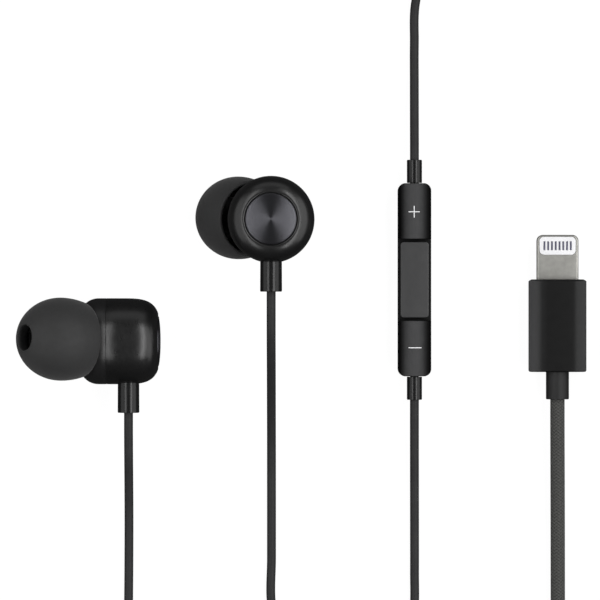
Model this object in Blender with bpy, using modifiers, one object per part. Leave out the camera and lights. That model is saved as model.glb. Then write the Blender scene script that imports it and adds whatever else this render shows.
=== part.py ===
"""Wired in-ear earphones: two canted buds, a three-button remote, a Y splitter and a flat plug.

Lengths are metres, +Z is up and everything lies on the plane z = 0.
The left bud lies on its side, the right bud stands on its ear tip, and the cords run away along -Y.
Each bud has a frame of its own: local z along the drum towards the ear, local x the way the ear tip
is canted, and local -y the way the cord leaves.
"""
import math

import bmesh
import bpy
from mathutils import Vector

MM = 0.001

# Fits
GAP = 0.3 * MM                    # between pieces that touch
CONTACT_GAP = 0.06 * MM           # round the plug's contacts, which are only 0.36 mm wide
SIDE_GAP = 0.15 * MM              # round the nozzle's barb and beside the button pegs

# Bud
DRUM_RADIUS = 6.81 * MM
DRUM_LENGTH = 12.9 * MM
WALL = 0.9 * MM
REAR_DOME_DEPTH = 6.4 * MM
REAR_DOME_POWER = 3.75
FRONT_FILLET = 3.1 * MM
SEAM = 8.56 * MM
CAP_RADIUS = 4.0 * MM
CAP_THICKNESS = 0.8 * MM
TIP_CANT = math.radians(35)
TIP_SWING = math.radians(4)       # of the cant, round the drum from local x
TIP_OFFSET = 5.28 * MM            # of the ear tip's widest circle, from the drum's axis
TIP_HEIGHT = 15.6 * MM            # and from its rear face
TIP_RADIUS = 6.55 * MM
TIP_DOME = 7.25 * MM
TIP_HOLE = 2.13 * MM
TIP_WALL = 0.5 * MM
SKIRT_DEPTH = 3.66 * MM
SKIRT_TUCK = 0.58 * MM
SLEEVE_END = -2.15 * MM
SLEEVE_RADIUS = 3.3 * MM
NOZZLE_RADIUS = 2.05 * MM
NOZZLE_BARB = 2.3 * MM
NOZZLE_BORE = 1.45 * MM
NOZZLE_END = 4.6 * MM
RELIEF_SEAT = 5.07 * MM           # where the cord leaves, along the drum from its rear face
RELIEF_RADIUS = 1.72 * MM
RELIEF_REACH = 11.34 * MM         # from the drum's axis to the relief's cut end
DRIVER_RADIUS = 5.3 * MM

LEFT_BUD = Vector((-0.875 * MM, -7.37 * MM, DRUM_RADIUS))
RIGHT_BUD = Vector((16.694 * MM, 11.808 * MM, 22.63 * MM))

# Remote
REMOTE = Vector((39.445 * MM, 2.38 * MM, 0))
REMOTE_WIDTH = 5.3 * MM
REMOTE_LENGTH = 30.7 * MM
REMOTE_CORNER = 1.2 * MM
REMOTE_AXIS_Z = 2.35 * MM
REAR_SHELL_TOP = 2.2 * MM
CHASSIS_TOP = 3.1 * MM
CAP_BASE = CHASSIS_TOP + GAP
CAP_CROWN = 4.7 * MM
RECESS_HALF = 6.5 * MM
PAD_WIDTH = 4.5 * MM
PAD_LENGTH = 12.0 * MM
PAD_TOP = 4.25 * MM
BUTTON_Y = 10.8 * MM
SWITCH_TOP = 2.1 * MM
REMOTE_RELIEF_RADIUS = 1.2 * MM
REMOTE_RELIEF_LENGTH = 3.75 * MM

# Plug
PLUG = Vector((62.205 * MM, 2.444 * MM, 2.5 * MM))   # on the axis, at the boot's front face
TAB_WIDTH = 6.65 * MM
TAB_THICKNESS = 1.5 * MM
TAB_LENGTH = 7.08 * MM
WINDOW_WIDTH = 5.8 * MM
WINDOW_LENGTH = 2.88 * MM
WINDOW_CENTRE = 5.35 * MM
CONTACT_COUNT = 8
CONTACT_PITCH = 0.6 * MM
CONTACT_WIDTH = 0.36 * MM
CONTACT_LENGTH = 1.4 * MM
BOOT_WIDTH = 9.2 * MM
BOOT_HEIGHT = 5.0 * MM
BOOT_LENGTH = 14.72 * MM
BOOT_CORNER = 2.1 * MM
NECK_RADIUS = 1.83 * MM
NECK_LENGTH = 4.36 * MM

# Splitter
SPLITTER = Vector((12.0 * MM, -80.0 * MM, 1.8 * MM))  # on the axis, at the end the ear cords enter
SPLITTER_WIDTH = 5.2 * MM
SPLITTER_HEIGHT = 3.6 * MM
SPLITTER_LENGTH = 14.0 * MM
SPLITTER_WALL = 0.6 * MM
EAR_CORD_SPREAD = 1.15 * MM       # each ear cord's distance from the splitter's axis

# Cords
EAR_CORD = 1.42 * MM
MAIN_CORD = 2.3 * MM
TIE_THICKNESS = 0.25 * MM
TIE_GAP = 0.1 * MM                # between a coil and its tie, above and below
TIE_SLACK = 0.3 * MM              # and at the sides
TIE_WIDTH = 2.6 * MM
COIL_LIFT = TIE_THICKNESS + TIE_GAP
LEFT_COIL = Vector((-16.31 * MM, -63.0 * MM, 0))
LEFT_COIL_MEAN = 7.8 * MM
LEFT_COIL_HALF = 3.1 * MM         # half the width of the wound band, cord included
MAIN_COIL = Vector((45.0 * MM, -92.0 * MM, 0))
MAIN_COIL_MEAN = 13.25 * MM
MAIN_COIL_HALF = 5.85 * MM

# Routes of the uncoiled cords, in millimetres
LEFT_CORD_TO_COIL = [
    (-5.945, -18.97, 6.81), (-5.95, -21.5, 6.7), (-5.96, -25.5, 5.7), (-5.99, -30.0, 3.6),
    (-6.02, -34.5, 1.75), (-6.05, -39.5, 0.86), (-6.08, -45.0, 0.74), (-6.12, -50.0, 0.74),
    (-6.12, -55.5, 0.85), (-6.12, -63.0, 1.08),
]
LEFT_CORD_FROM_COIL = [
    (-6.12, -63.0, 2.54), (-5.6, -66.8, 2.2), (-3.3, -70.5, 1.45), (1.0, -72.3, 0.85),
    (5.6, -73.2, 0.75), (9.1, -74.9, 1.1), (10.65, -77.4, 1.62), (10.85, -79.7, 1.8),
]
RIGHT_CORD_TO_REMOTE = [
    (16.705, 0.21, 17.56), (16.705, -2.4, 17.45), (16.7, -7.0, 15.8), (16.7, -12.0, 11.9),
    (16.69, -17.0, 7.4), (16.685, -22.5, 3.5), (16.68, -28.5, 1.3), (16.68, -35.0, 0.75),
    (16.68, -42.0, 0.74), (16.7, -49.5, 0.74), (18.6, -55.6, 0.78), (23.2, -59.4, 1.3),
    (29.5, -60.5, 2.1), (36.5, -60.5, 2.55), (43.5, -60.4, 2.1), (50.0, -60.4, 2.1),
    (56.5, -60.5, 2.95), (62.4, -60.1, 3.4), (67.6, -57.0, 2.7), (70.6, -51.4, 1.5),
    (71.2, -44.5, 0.85), (71.2, -36.0, 0.74), (71.2, -24.0, 0.74), (71.2, -12.0, 0.74),
    (71.2, 0.0, 0.74), (71.2, 12.0, 0.74), (71.2, 24.0, 0.74), (71.2, 36.0, 0.74),
    (71.1, 45.5, 0.74), (68.6, 54.6, 0.74), (63.0, 60.6, 0.74), (55.35, 62.7, 0.74),
    (47.7, 60.6, 0.74), (42.1, 54.8, 0.74), (39.7, 46.9, 0.74), (39.46, 40.0, 0.76),
    (39.45, 34.0, 1.05), (39.445, 28.5, 1.7), (39.445, 24.5, 2.25), (39.445, 21.78, 2.35),
]
RIGHT_CORD_TO_SPLITTER = [
    (39.445, -17.02, 2.35), (39.445, -20.0, 2.2), (39.46, -25.0, 1.5), (39.48, -31.0, 0.86),
    (39.49, -37.5, 0.74), (39.49, -44.0, 0.74), (39.4, -50.5, 0.74), (38.2, -56.6, 0.74),
    (34.6, -62.2, 0.74), (28.9, -66.4, 0.74), (22.4, -69.4, 0.74), (16.8, -72.6, 0.8),
    (13.8, -76.2, 1.4), (13.15, -79.7, 1.8),
]
MAIN_CORD_TO_COIL = [
    (12.0, -98.6, 1.8), (12.2, -101.2, 1.5), (14.4, -105.4, 1.2), (19.4, -108.6, 1.17),
    (26.5, -109.8, 1.2), (34.5, -110.0, 1.35), (45.0, -109.95, 1.52),
]
MAIN_CORD_FROM_COIL = [
    (62.95, -92.0, 3.85), (62.85, -86.5, 3.4), (62.65, -80.5, 2.2), (62.5, -74.0, 1.35),
    (62.42, -67.0, 1.17), (62.36, -60.0, 1.17), (62.33, -52.0, 1.17), (62.32, -44.0, 1.18),
    (62.3, -36.0, 1.4), (62.25, -28.0, 2.0), (62.21, -21.5, 2.45), (62.205, -16.94, 2.5),
]

# Faces round a turned piece
FINE = 24
COARSE = 16

MATERIALS = {
    "gloss_shell": ((0.018, 0.018, 0.019, 1), 0.16, 0.0),
    "matte_shell": ((0.030, 0.030, 0.031, 1), 0.5, 0.0),
    "spun_cap": ((0.10, 0.10, 0.105, 1), 0.3, 0.9),
    "silicone": ((0.040, 0.040, 0.040, 1), 0.7, 0.0),
    "nozzle_steel": ((0.20, 0.20, 0.20, 1), 0.4, 1.0),
    "driver_plastic": ((0.05, 0.05, 0.05, 1), 0.5, 0.0),
    "magnet_steel": ((0.45, 0.45, 0.47, 1), 0.35, 1.0),
    "diaphragm_film": ((0.35, 0.33, 0.28, 1), 0.35, 0.0),
    "copper": ((0.72, 0.38, 0.20, 1), 0.35, 1.0),
    "relief_rubber": ((0.032, 0.032, 0.033, 1), 0.5, 0.0),
    "remote_gloss": ((0.020, 0.020, 0.021, 1), 0.25, 0.0),
    "button_satin": ((0.055, 0.055, 0.055, 1), 0.45, 0.0),
    "circuit_board": ((0.02, 0.13, 0.05, 1), 0.45, 0.0),
    "switch_metal": ((0.70, 0.70, 0.68, 1), 0.3, 1.0),
    "tab_steel": ((0.34, 0.33, 0.30, 1), 0.35, 1.0),
    "insulator_white": ((0.86, 0.86, 0.86, 1), 0.4, 0.0),
    "contact_metal": ((0.20, 0.20, 0.30, 1), 0.35, 1.0),
    "boot_plastic": ((0.035, 0.035, 0.036, 1), 0.4, 0.0),
    "cord_rubber": ((0.025, 0.025, 0.025, 1), 0.45, 0.0),
    "cord_braid": ((0.055, 0.055, 0.050, 1), 0.8, 0.0),
    "tie_fabric": ((0.03, 0.03, 0.03, 1), 0.85, 0.0),
}


def clear_scene():
    for obj in list(bpy.data.objects):
        bpy.data.objects.remove(obj)


def new_collection(name):
    collection = bpy.data.collections.new(name)
    bpy.context.scene.collection.children.link(collection)
    return collection


def make_material(name):
    colour, roughness, metallic = MATERIALS[name]
    material = bpy.data.materials.new(name)
    material.use_nodes = True
    shader = material.node_tree.nodes["Principled BSDF"]
    shader.inputs["Base Color"].default_value = colour
    shader.inputs["Roughness"].default_value = roughness
    shader.inputs["Metallic"].default_value = metallic
    return material


clear_scene()
PARTS = new_collection("wired_earphones")
CUTTERS = new_collection("cutters")


# Placing and finishing

def place(obj, frame=None, location=(0, 0, 0), rotation=(0, 0, 0)):
    obj.parent = frame
    obj.location = location
    obj.rotation_euler = rotation
    return obj


def add_part(obj, material):
    """Put a piece in the parts collection with a material of its own."""
    obj.data.materials.clear()
    obj.data.materials.append(make_material(material))
    PARTS.objects.link(obj)
    return obj


def add_cutter(obj):
    obj.hide_render = True
    obj.display_type = "WIRE"
    CUTTERS.objects.link(obj)
    return obj


def boolean(target, tool, operation):
    modifier = target.modifiers.new(tool.name, "BOOLEAN")
    modifier.operation = operation
    modifier.solver = "EXACT"
    modifier.object = tool
    return target


def cut(target, tool):
    return boolean(target, add_cutter(tool), "DIFFERENCE")


def join(target, tool):
    return boolean(target, add_cutter(tool), "UNION")


def keep_inside(target, tool):
    return boolean(target, add_cutter(tool), "INTERSECT")


def round_edges(obj, width, angle=40):
    modifier = obj.modifiers.new("rounded_edges", "BEVEL")
    modifier.width = width
    modifier.segments = 2
    modifier.limit_method = "ANGLE"
    modifier.angle_limit = math.radians(angle)
    return obj


def make_frame(name, location, rotation, parent=None):
    frame = bpy.data.objects.new(name, None)
    PARTS.objects.link(frame)
    return place(frame, parent, location, rotation)


# Shapes

def turned(name, profile, sides=FINE, closed=False):
    """Turn (radius, height) points about z. The outer side runs from the top down."""
    mesh = bpy.data.meshes.new(name)
    points = [(radius, 0, height) for radius, height in profile]
    edges = [(i, i + 1) for i in range(len(points) - 1)]
    if closed:
        edges.append((len(points) - 1, 0))
    mesh.from_pydata(points, edges, [])
    obj = bpy.data.objects.new(name, mesh)
    screw = obj.modifiers.new("turn", "SCREW")
    screw.steps = sides
    screw.render_steps = sides
    screw.use_merge_vertices = True
    screw.merge_threshold = 0.001 * MM
    return obj


def rod(name, radius, bottom, top, sides=COARSE):
    return turned(name, [(0, top), (radius, top), (radius, bottom), (0, bottom)], sides)


def ring(name, inner, outer, bottom, top, sides=COARSE):
    profile = [(inner, top), (outer, top), (outer, bottom), (inner, bottom)]
    return turned(name, profile, sides, closed=True)


def arc(centre, radius, start, stop, steps):
    """(radius, height) points on a round stretch, from angle start to stop in degrees."""
    points = []
    for i in range(steps + 1):
        angle = math.radians(start + (stop - start) * i / steps)
        points.append((centre[0] + radius * math.cos(angle), centre[1] + radius * math.sin(angle)))
    return points


def rounded_rectangle(width, length, corner, steps=4):
    points = []
    for i, (sx, sy) in enumerate(((1, 1), (-1, 1), (-1, -1), (1, -1))):
        centre = (sx * (width / 2 - corner), sy * (length / 2 - corner))
        points += arc(centre, corner, 90 * i, 90 * i + 90, steps)
    return points


def as_mesh_object(obj):
    """Turn a curve object into a mesh object whose caps are welded on."""
    PARTS.objects.link(obj)
    bpy.context.view_layer.update()
    evaluated = obj.evaluated_get(bpy.context.evaluated_depsgraph_get())
    mesh = bpy.data.meshes.new_from_object(evaluated)
    name = obj.name
    bpy.data.objects.remove(obj)
    work = bmesh.new()
    work.from_mesh(mesh)
    bmesh.ops.remove_doubles(work, verts=work.verts, dist=0.001 * MM)
    work.to_mesh(mesh)
    work.free()
    solid = bpy.data.objects.new(name, mesh)
    mesh.name = name
    return solid


def outline_solid(name, outlines, thickness):
    """A flat outline, with any holes as further outlines, centred on z = 0."""
    curve = bpy.data.curves.new(name, "CURVE")
    curve.dimensions = "2D"
    curve.fill_mode = "BOTH"
    curve.extrude = thickness / 2
    for outline in outlines:
        spline = curve.splines.new("POLY")
        spline.points.add(len(outline) - 1)
        for point, (x, y) in zip(spline.points, outline):
            point.co = (x, y, 0, 1)
        spline.use_cyclic_u = True
    return as_mesh_object(bpy.data.objects.new(name, curve))


def slab(name, width, length, corner, bottom, top):
    """A rounded rectangle in x and y, from bottom to top in z."""
    obj = outline_solid(name, [rounded_rectangle(width, length, corner)], top - bottom)
    for vertex in obj.data.vertices:
        vertex.co.z += (top + bottom) / 2
    return obj


def box(name, width, length, height):
    mesh = bpy.data.meshes.new(name)
    work = bmesh.new()
    bmesh.ops.create_cube(work, size=1)
    bmesh.ops.scale(work, vec=(width, length, height), verts=work.verts)
    work.to_mesh(mesh)
    work.free()
    return bpy.data.objects.new(name, mesh)


# Cords

def curve_point(before, start, end, after, t):
    """Catmull-Rom point between start and end."""
    return 0.5 * (2 * start + (end - before) * t
                  + (2 * before - 5 * start + 4 * end - after) * t ** 2
                  + (3 * start - before - 3 * end + after) * t ** 3)


def smooth_route(route, spacing):
    """Evenly spaced points on a smooth curve through a route's points."""
    knots = [Vector(point) * MM for point in route]
    knots = [2 * knots[0] - knots[1]] + knots + [2 * knots[-1] - knots[-2]]
    dense = [knots[1]]
    for i in range(1, len(knots) - 2):
        for step in range(1, 21):
            dense.append(curve_point(*knots[i - 1:i + 3], step / 20))
    travelled = [0]
    for a, b in zip(dense, dense[1:]):
        travelled.append(travelled[-1] + (b - a).length)
    count = round(travelled[-1] / spacing)
    points = []
    j = 0
    for i in range(count + 1):
        target = travelled[-1] * i / count
        while j < len(dense) - 2 and travelled[j + 1] < target:
            j += 1
        share = (target - travelled[j]) / (travelled[j + 1] - travelled[j])
        points.append(dense[j].lerp(dense[j + 1], share))
    return points


def cord(name, route, diameter, material, coil=None, coil_outer=0):
    """A tube along a route, which stops where it reaches the outside of a coil."""
    points = smooth_route(route, 2.55 * diameter)
    if coil is not None:
        reach = coil_outer + diameter / 2 + GAP
        points = [p for p in points if (p.xy - coil.xy).length > reach]
    curve = bpy.data.curves.new(name, "CURVE")
    curve.dimensions = "3D"
    curve.bevel_depth = diameter / 2
    curve.bevel_resolution = 2
    curve.use_fill_caps = True
    spline = curve.splines.new("POLY")
    spline.points.add(len(points) - 1)
    for point, position in zip(spline.points, points):
        point.co = (*position, 1)
    return add_part(bpy.data.objects.new(name, curve), material)


def coil(name, centre, mean, half, diameter, material):
    """The outer shape of two layers of turns: a ring with softened edges."""
    bottom = COIL_LIFT
    top = COIL_LIFT + 2 * diameter
    soft = 0.4 * diameter
    inner = mean - half
    outer = mean + half
    profile = [
        (inner + soft, top), (outer - soft, top), (outer, top - soft), (outer, bottom + soft),
        (outer - soft, bottom), (inner + soft, bottom), (inner, bottom + soft), (inner, top - soft),
    ]
    obj = turned(name, profile, FINE, closed=True)
    return place(add_part(obj, material), None, centre)


def coil_tie(name, centre, mean, half, diameter, angle):
    """A fabric band round a coil's section, at an angle round the coil."""
    inner_width = 2 * (half + TIE_SLACK)
    inner_height = 2 * (diameter + TIE_GAP)
    outer_width = inner_width + 2 * TIE_THICKNESS
    outer_height = inner_height + 2 * TIE_THICKNESS
    outlines = [
        rounded_rectangle(outer_width, outer_height, 0.9 * MM, 3),
        rounded_rectangle(inner_width, inner_height, 0.55 * MM, 3),
    ]
    band = outline_solid(name, outlines, TIE_WIDTH)
    offset = Vector((math.cos(angle), math.sin(angle), 0)) * mean
    position = centre + offset + Vector((0, 0, outer_height / 2))
    return place(add_part(band, "tie_fabric"), None, position, (math.pi / 2, 0, angle))


# Buds

def rear_dome(steps):
    """The rear shell's outer side, from its widest circle down to the cap's rim."""
    rim = CAP_RADIUS + GAP
    points = []
    for i in range(steps + 1):
        angle = math.pi / 2 * (i / steps) ** 1.35
        power = 2 / REAR_DOME_POWER
        radius = DRUM_RADIUS * math.cos(angle) ** power if i < steps else 0
        height = REAR_DOME_DEPTH * (1 - math.sin(angle) ** power)
        if radius > rim:
            points.append((radius, height))
    points.append((rim, 0.3 * MM))
    return points


def rear_housing(side, bud):
    """The glossy cup: it carries the cap in a recess behind and the cord's relief in its wall."""
    inner = DRUM_RADIUS - WALL
    recess = CAP_THICKNESS + GAP
    rim = CAP_RADIUS + GAP
    seam = SEAM - GAP / 2
    profile = [(0, recess + WALL), (inner - 1.6 * MM, recess + WALL)]
    profile += arc((inner - 1.6 * MM, recess + WALL + 1.6 * MM), 1.6 * MM, -60, 0, 3)
    profile += [(inner, seam), (DRUM_RADIUS, seam)]
    profile += rear_dome(10)
    profile += [(rim, recess), (0, recess)]
    obj = place(add_part(turned(side + "_rear_housing", profile), "gloss_shell"), bud)
    hole = rod(side + "_relief_hole", RELIEF_RADIUS + GAP, 4 * MM, 9 * MM, 24)
    return cut(obj, place(hole, bud, (0, 0, RELIEF_SEAT), (math.pi / 2, 0, 0)))


def rear_cap(side, bud):
    """The spun disc set into the back of the drum, crowned by a tenth of a millimetre."""
    crown = 0.1 * MM
    profile = [
        (0, CAP_THICKNESS), (CAP_RADIUS, CAP_THICKNESS), (CAP_RADIUS, 2.5 * crown),
        (CAP_RADIUS - 1.5 * crown, crown), (CAP_RADIUS / 2, 0.25 * crown), (0, 0),
    ]
    return place(add_part(turned(side + "_rear_cap", profile), "spun_cap"), bud)


def nozzle_solid(side):
    """The spout's outside, with the barb that holds the ear tip."""
    profile = [
        (0, NOZZLE_END), (NOZZLE_RADIUS - 0.15 * MM, NOZZLE_END),
        (NOZZLE_RADIUS, NOZZLE_END - 0.15 * MM), (NOZZLE_RADIUS, 3.9 * MM), (NOZZLE_BARB, 3.2 * MM),
        (NOZZLE_BARB, 2.7 * MM), (NOZZLE_RADIUS, 2.4 * MM), (NOZZLE_RADIUS, -4.8 * MM), (0, -4.8 * MM),
    ]
    return turned(side + "_nozzle_solid", profile, 24)


def nozzle_bore(side):
    """The sound passage, stepped wider at its mouth to seat the mesh."""
    seat = NOZZLE_BORE + 0.35 * MM
    profile = [
        (0, NOZZLE_END + 1 * MM), (seat, NOZZLE_END + 1 * MM), (seat, NOZZLE_END - 0.8 * MM),
        (NOZZLE_BORE, NOZZLE_END - 0.8 * MM), (NOZZLE_BORE, -6.3 * MM), (0, -6.3 * MM),
    ]
    return turned(side + "_nozzle_bore", profile, 24)


def front_housing(side, bud, nozzle):
    """The matt front shell and its canted spout, in one moulding."""
    inner = DRUM_RADIUS - WALL
    seam = SEAM + GAP / 2
    corner = (DRUM_RADIUS - FRONT_FILLET, DRUM_LENGTH - FRONT_FILLET)
    profile = [(0, DRUM_LENGTH)]
    profile += arc(corner, FRONT_FILLET, 90, 0, 6)
    profile += [(DRUM_RADIUS, seam), (inner, seam)]
    profile += arc(corner, FRONT_FILLET - WALL, 0, 90, 3)
    profile += [(0, DRUM_LENGTH - WALL)]
    obj = place(add_part(turned(side + "_front_housing", profile), "matte_shell"), bud)
    join(obj, place(nozzle_solid(side), nozzle))
    return cut(obj, place(nozzle_bore(side), nozzle))


def nozzle_mesh(side, nozzle):
    bottom = NOZZLE_END - 0.5 * MM
    disc = rod(side + "_nozzle_mesh", NOZZLE_BORE + 0.1 * MM, bottom, bottom + 0.3 * MM)
    return place(add_part(disc, "nozzle_steel"), nozzle)


def ellipse_arc(radial, axial, start, stop, steps):
    points = []
    for i in range(steps + 1):
        angle = math.radians(start + (stop - start) * i / steps)
        points.append((radial * math.cos(angle), axial * math.sin(angle)))
    return points


def ear_tip(side, nozzle):
    """Domed silicone tip: a skirt outside, and a sleeve inside that grips the spout."""
    bore = NOZZLE_BARB + SIDE_GAP
    skirt = [(TIP_RADIUS - SKIRT_TUCK * t ** 2, -SKIRT_DEPTH * t) for t in (0.5, 1.0)]
    inner_skirt = [(radius - TIP_WALL, height) for radius, height in reversed(skirt)]
    inner_dome = ellipse_arc(TIP_RADIUS - TIP_WALL, TIP_DOME - 0.9 * MM, 0, 50, 4)
    profile = [(TIP_HOLE, 6.05 * MM), (TIP_HOLE + 0.2 * MM, 6.4 * MM)]
    profile += ellipse_arc(TIP_RADIUS, TIP_DOME, 65, 0, 7)
    profile += skirt + inner_skirt + inner_dome
    profile += [
        (SLEEVE_RADIUS, 4.55 * MM), (SLEEVE_RADIUS, SLEEVE_END), (bore, SLEEVE_END),
        (bore, 5.0 * MM), (TIP_HOLE, 5.25 * MM),
    ]
    return place(add_part(turned(side + "_ear_tip", profile, FINE, closed=True), "silicone"), nozzle)


def strain_relief(side, bud):
    """Rubber sleeve through the drum's wall, held by a flange inside it."""
    flange = 5.1 * MM
    profile = [
        (0, RELIEF_REACH), (RELIEF_RADIUS - 0.1 * MM, RELIEF_REACH),
        (RELIEF_RADIUS + 0.02 * MM, RELIEF_REACH - 0.15 * MM), (RELIEF_RADIUS - 0.02 * MM, flange),
        (2.2 * MM, flange), (2.2 * MM, flange - 0.4 * MM), (0, flange - 0.4 * MM),
    ]
    obj = turned(side + "_strain_relief", profile, 24)
    return place(add_part(obj, "relief_rubber"), bud, (0, 0, RELIEF_SEAT), (math.pi / 2, 0, 0))


def driver(side, bud):
    """The moving-coil driver: basket, magnet pot, film and voice coil."""
    basket_profile = [
        (4.4 * MM, 9.15 * MM), (DRIVER_RADIUS, 9.15 * MM), (DRIVER_RADIUS, 8.4 * MM),
        (4.3 * MM, 7.6 * MM), (3.5 * MM, 7.6 * MM), (3.5 * MM, 8.1 * MM), (4.4 * MM, 8.7 * MM),
    ]
    pot_profile = [
        (0, 8.0 * MM), (1.85 * MM, 8.0 * MM), (1.85 * MM, 6.1 * MM), (2.75 * MM, 6.1 * MM),
        (2.75 * MM, 8.1 * MM), (3.2 * MM, 8.1 * MM), (3.2 * MM, 5.3 * MM), (0, 5.3 * MM),
    ]
    film = [(0, 10.2), (1.2, 10.1), (2.3, 9.7), (3.2, 9.95), (4.1, 9.9), (4.9, 9.65)]
    film_top = [(radius * MM, height * MM) for radius, height in film]
    film_bottom = [(radius, height - 0.2 * MM) for radius, height in reversed(film_top)]
    pieces = [
        (turned(side + "_driver_basket", basket_profile, COARSE, closed=True), "driver_plastic"),
        (turned(side + "_driver_magnet", pot_profile, COARSE), "magnet_steel"),
        (turned(side + "_diaphragm", film_top + film_bottom, COARSE), "diaphragm_film"),
        (ring(side + "_voice_coil", 2.15 * MM, 2.45 * MM, 7.0 * MM, 9.15 * MM), "copper"),
    ]
    for obj, material in pieces:
        place(add_part(obj, material), bud)


def bud(side, location, turn):
    """One earpiece in a frame of its own, turned about world Y."""
    frame = make_frame(side + "_bud_frame", location, (0, turn, 0))
    tip_centre = Vector((TIP_OFFSET * math.cos(TIP_SWING), TIP_OFFSET * math.sin(TIP_SWING), TIP_HEIGHT))
    nozzle = make_frame(side + "_nozzle_frame", tip_centre, (0, TIP_CANT, TIP_SWING), frame)
    rear_housing(side, frame)
    rear_cap(side, frame)
    front_housing(side, frame, nozzle)
    nozzle_mesh(side, nozzle)
    ear_tip(side, nozzle)
    strain_relief(side, frame)
    driver(side, frame)


# Remote

def cut_end_holes(target, frame):
    """Cut the hole in each end of the remote through which a cord relief's neck passes."""
    for end in (1, -1):
        tool = rod(target.name + "_end_hole", 1.05 * MM, -1.4 * MM, 1 * MM, 16)
        place(tool, frame, (0, end * REMOTE_LENGTH / 2, REMOTE_AXIS_Z), (-end * math.pi / 2, 0, 0))
        cut(target, tool)


def remote_rear_shell(frame):
    shell = slab("remote_rear_shell", REMOTE_WIDTH, REMOTE_LENGTH, REMOTE_CORNER, 0, REAR_SHELL_TOP)
    round_bottom = shell.modifiers.new("rounded_edges", "BEVEL")
    round_bottom.width = 0.35 * MM
    round_bottom.segments = 2
    round_bottom.limit_method = "ANGLE"
    round_bottom.angle_limit = math.radians(60)
    add_part(shell, "remote_gloss")
    pocket = slab("remote_pocket", REMOTE_WIDTH - 1.2 * MM, REMOTE_LENGTH - 1.8 * MM,
                  0.7 * MM, 0.6 * MM, 4 * MM)
    cut(place(shell, frame), place(pocket, frame))
    cut_end_holes(shell, frame)
    port = rod("microphone_port", 0.35 * MM, -1 * MM, 1 * MM, 12)
    return cut(shell, place(port, frame, (0, 5.4 * MM, 0)))


def remote_chassis(frame):
    """The plate under the buttons, with a hole for each button's peg."""
    plate = slab("remote_chassis", REMOTE_WIDTH, REMOTE_LENGTH, REMOTE_CORNER,
                 REAR_SHELL_TOP + GAP, CHASSIS_TOP)
    place(add_part(plate, "remote_gloss"), frame)
    cut_end_holes(plate, frame)
    for index, y in enumerate((BUTTON_Y, 0, -BUTTON_Y)):
        hole = rod("peg_hole_" + str(index), 0.7 * MM + GAP, 0, 5 * MM, 16)
        cut(plate, place(hole, frame, (0, y, 0)))


def peg(name, frame, y):
    """The post under a button that presses its switch."""
    post = rod(name + "_peg", 0.7 * MM, SWITCH_TOP + GAP, CAP_BASE + 0.3 * MM, 16)
    return place(post, frame, (0, y, 0))


def volume_button(name, frame, y, end):
    """A cap crowned across its width, rounded in plan at the remote's end."""
    crown = ellipse_arc(REMOTE_WIDTH / 2, CAP_CROWN - CAP_BASE - 0.1 * MM, 0, 180, 12)
    section = [(x, z + CAP_BASE + 0.1 * MM) for x, z in crown]
    section += [(-REMOTE_WIDTH / 2, CAP_BASE), (REMOTE_WIDTH / 2, CAP_BASE)]
    length = REMOTE_LENGTH / 2 - RECESS_HALF
    middle = end * (RECESS_HALF + length / 2)
    cap = outline_solid(name, [section], length)
    place(add_part(cap, "remote_gloss"), frame, (0, middle, 0), (math.pi / 2, 0, 0))
    outline = slab(name + "_plan", REMOTE_WIDTH, REMOTE_LENGTH, REMOTE_CORNER, 2 * MM, 6 * MM)
    keep_inside(cap, place(outline, frame))
    return join(cap, peg(name, frame, y))


def centre_button(frame):
    """The flat satin pad in the middle of the remote."""
    pad = slab("centre_button", PAD_WIDTH, PAD_LENGTH, 0.5 * MM, CAP_BASE, PAD_TOP)
    place(add_part(pad, "button_satin"), frame)
    round_edges(pad, 0.12 * MM, 60)
    return join(pad, peg("centre_button", frame, 0))


def remote_electronics(frame):
    board = slab("remote_circuit_board", 3.4 * MM, 26.8 * MM, 0.4 * MM, 0.9 * MM, 1.3 * MM)
    place(add_part(board, "circuit_board"), frame)
    port = rod("board_port", 0.3 * MM, 0, 2 * MM, 12)
    cut(board, place(port, frame, (0, 5.4 * MM, 0)))
    base = 1.3 * MM + GAP
    dome = [(0, SWITCH_TOP), (0.7 * MM, 2.0 * MM), (1.2 * MM, base + 0.15 * MM), (1.2 * MM, base), (0, base)]
    for name, y in (("volume_up", BUTTON_Y), ("centre", 0), ("volume_down", -BUTTON_Y)):
        switch = add_part(turned(name + "_switch", dome, 16), "switch_metal")
        place(switch, frame, (0, y, 0))
    can = add_part(box("microphone", 2.0 * MM, 2.6 * MM, 0.6 * MM), "switch_metal")
    place(can, frame, (0, 5.4 * MM, base + 0.3 * MM))


def cord_relief(name, radius, length, neck, neck_length, frame, location, rotation, material):
    """A rubber sleeve outside a housing's end, with a thinner neck that goes into it."""
    profile = [
        (0, length), (radius - 0.12 * MM, length), (radius, length - 0.15 * MM), (radius, GAP),
        (neck, GAP), (neck, -neck_length), (0, -neck_length),
    ]
    return place(add_part(turned(name, profile, COARSE), material), frame, location, rotation)


def remote():
    frame = make_frame("remote_frame", REMOTE, (0, 0, 0))
    remote_rear_shell(frame)
    remote_chassis(frame)
    volume_button("volume_up_button", frame, BUTTON_Y, 1)
    centre_button(frame)
    volume_button("volume_down_button", frame, -BUTTON_Y, -1)
    remote_electronics(frame)
    for name, end in (("upper", 1), ("lower", -1)):
        location = (0, end * REMOTE_LENGTH / 2, REMOTE_AXIS_Z)
        cord_relief("remote_" + name + "_strain_relief", REMOTE_RELIEF_RADIUS, REMOTE_RELIEF_LENGTH,
                    0.75 * MM, 1.1 * MM, frame, location, (-end * math.pi / 2, 0, 0), "relief_rubber")


# Plug: its frame has +y along the tab

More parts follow.
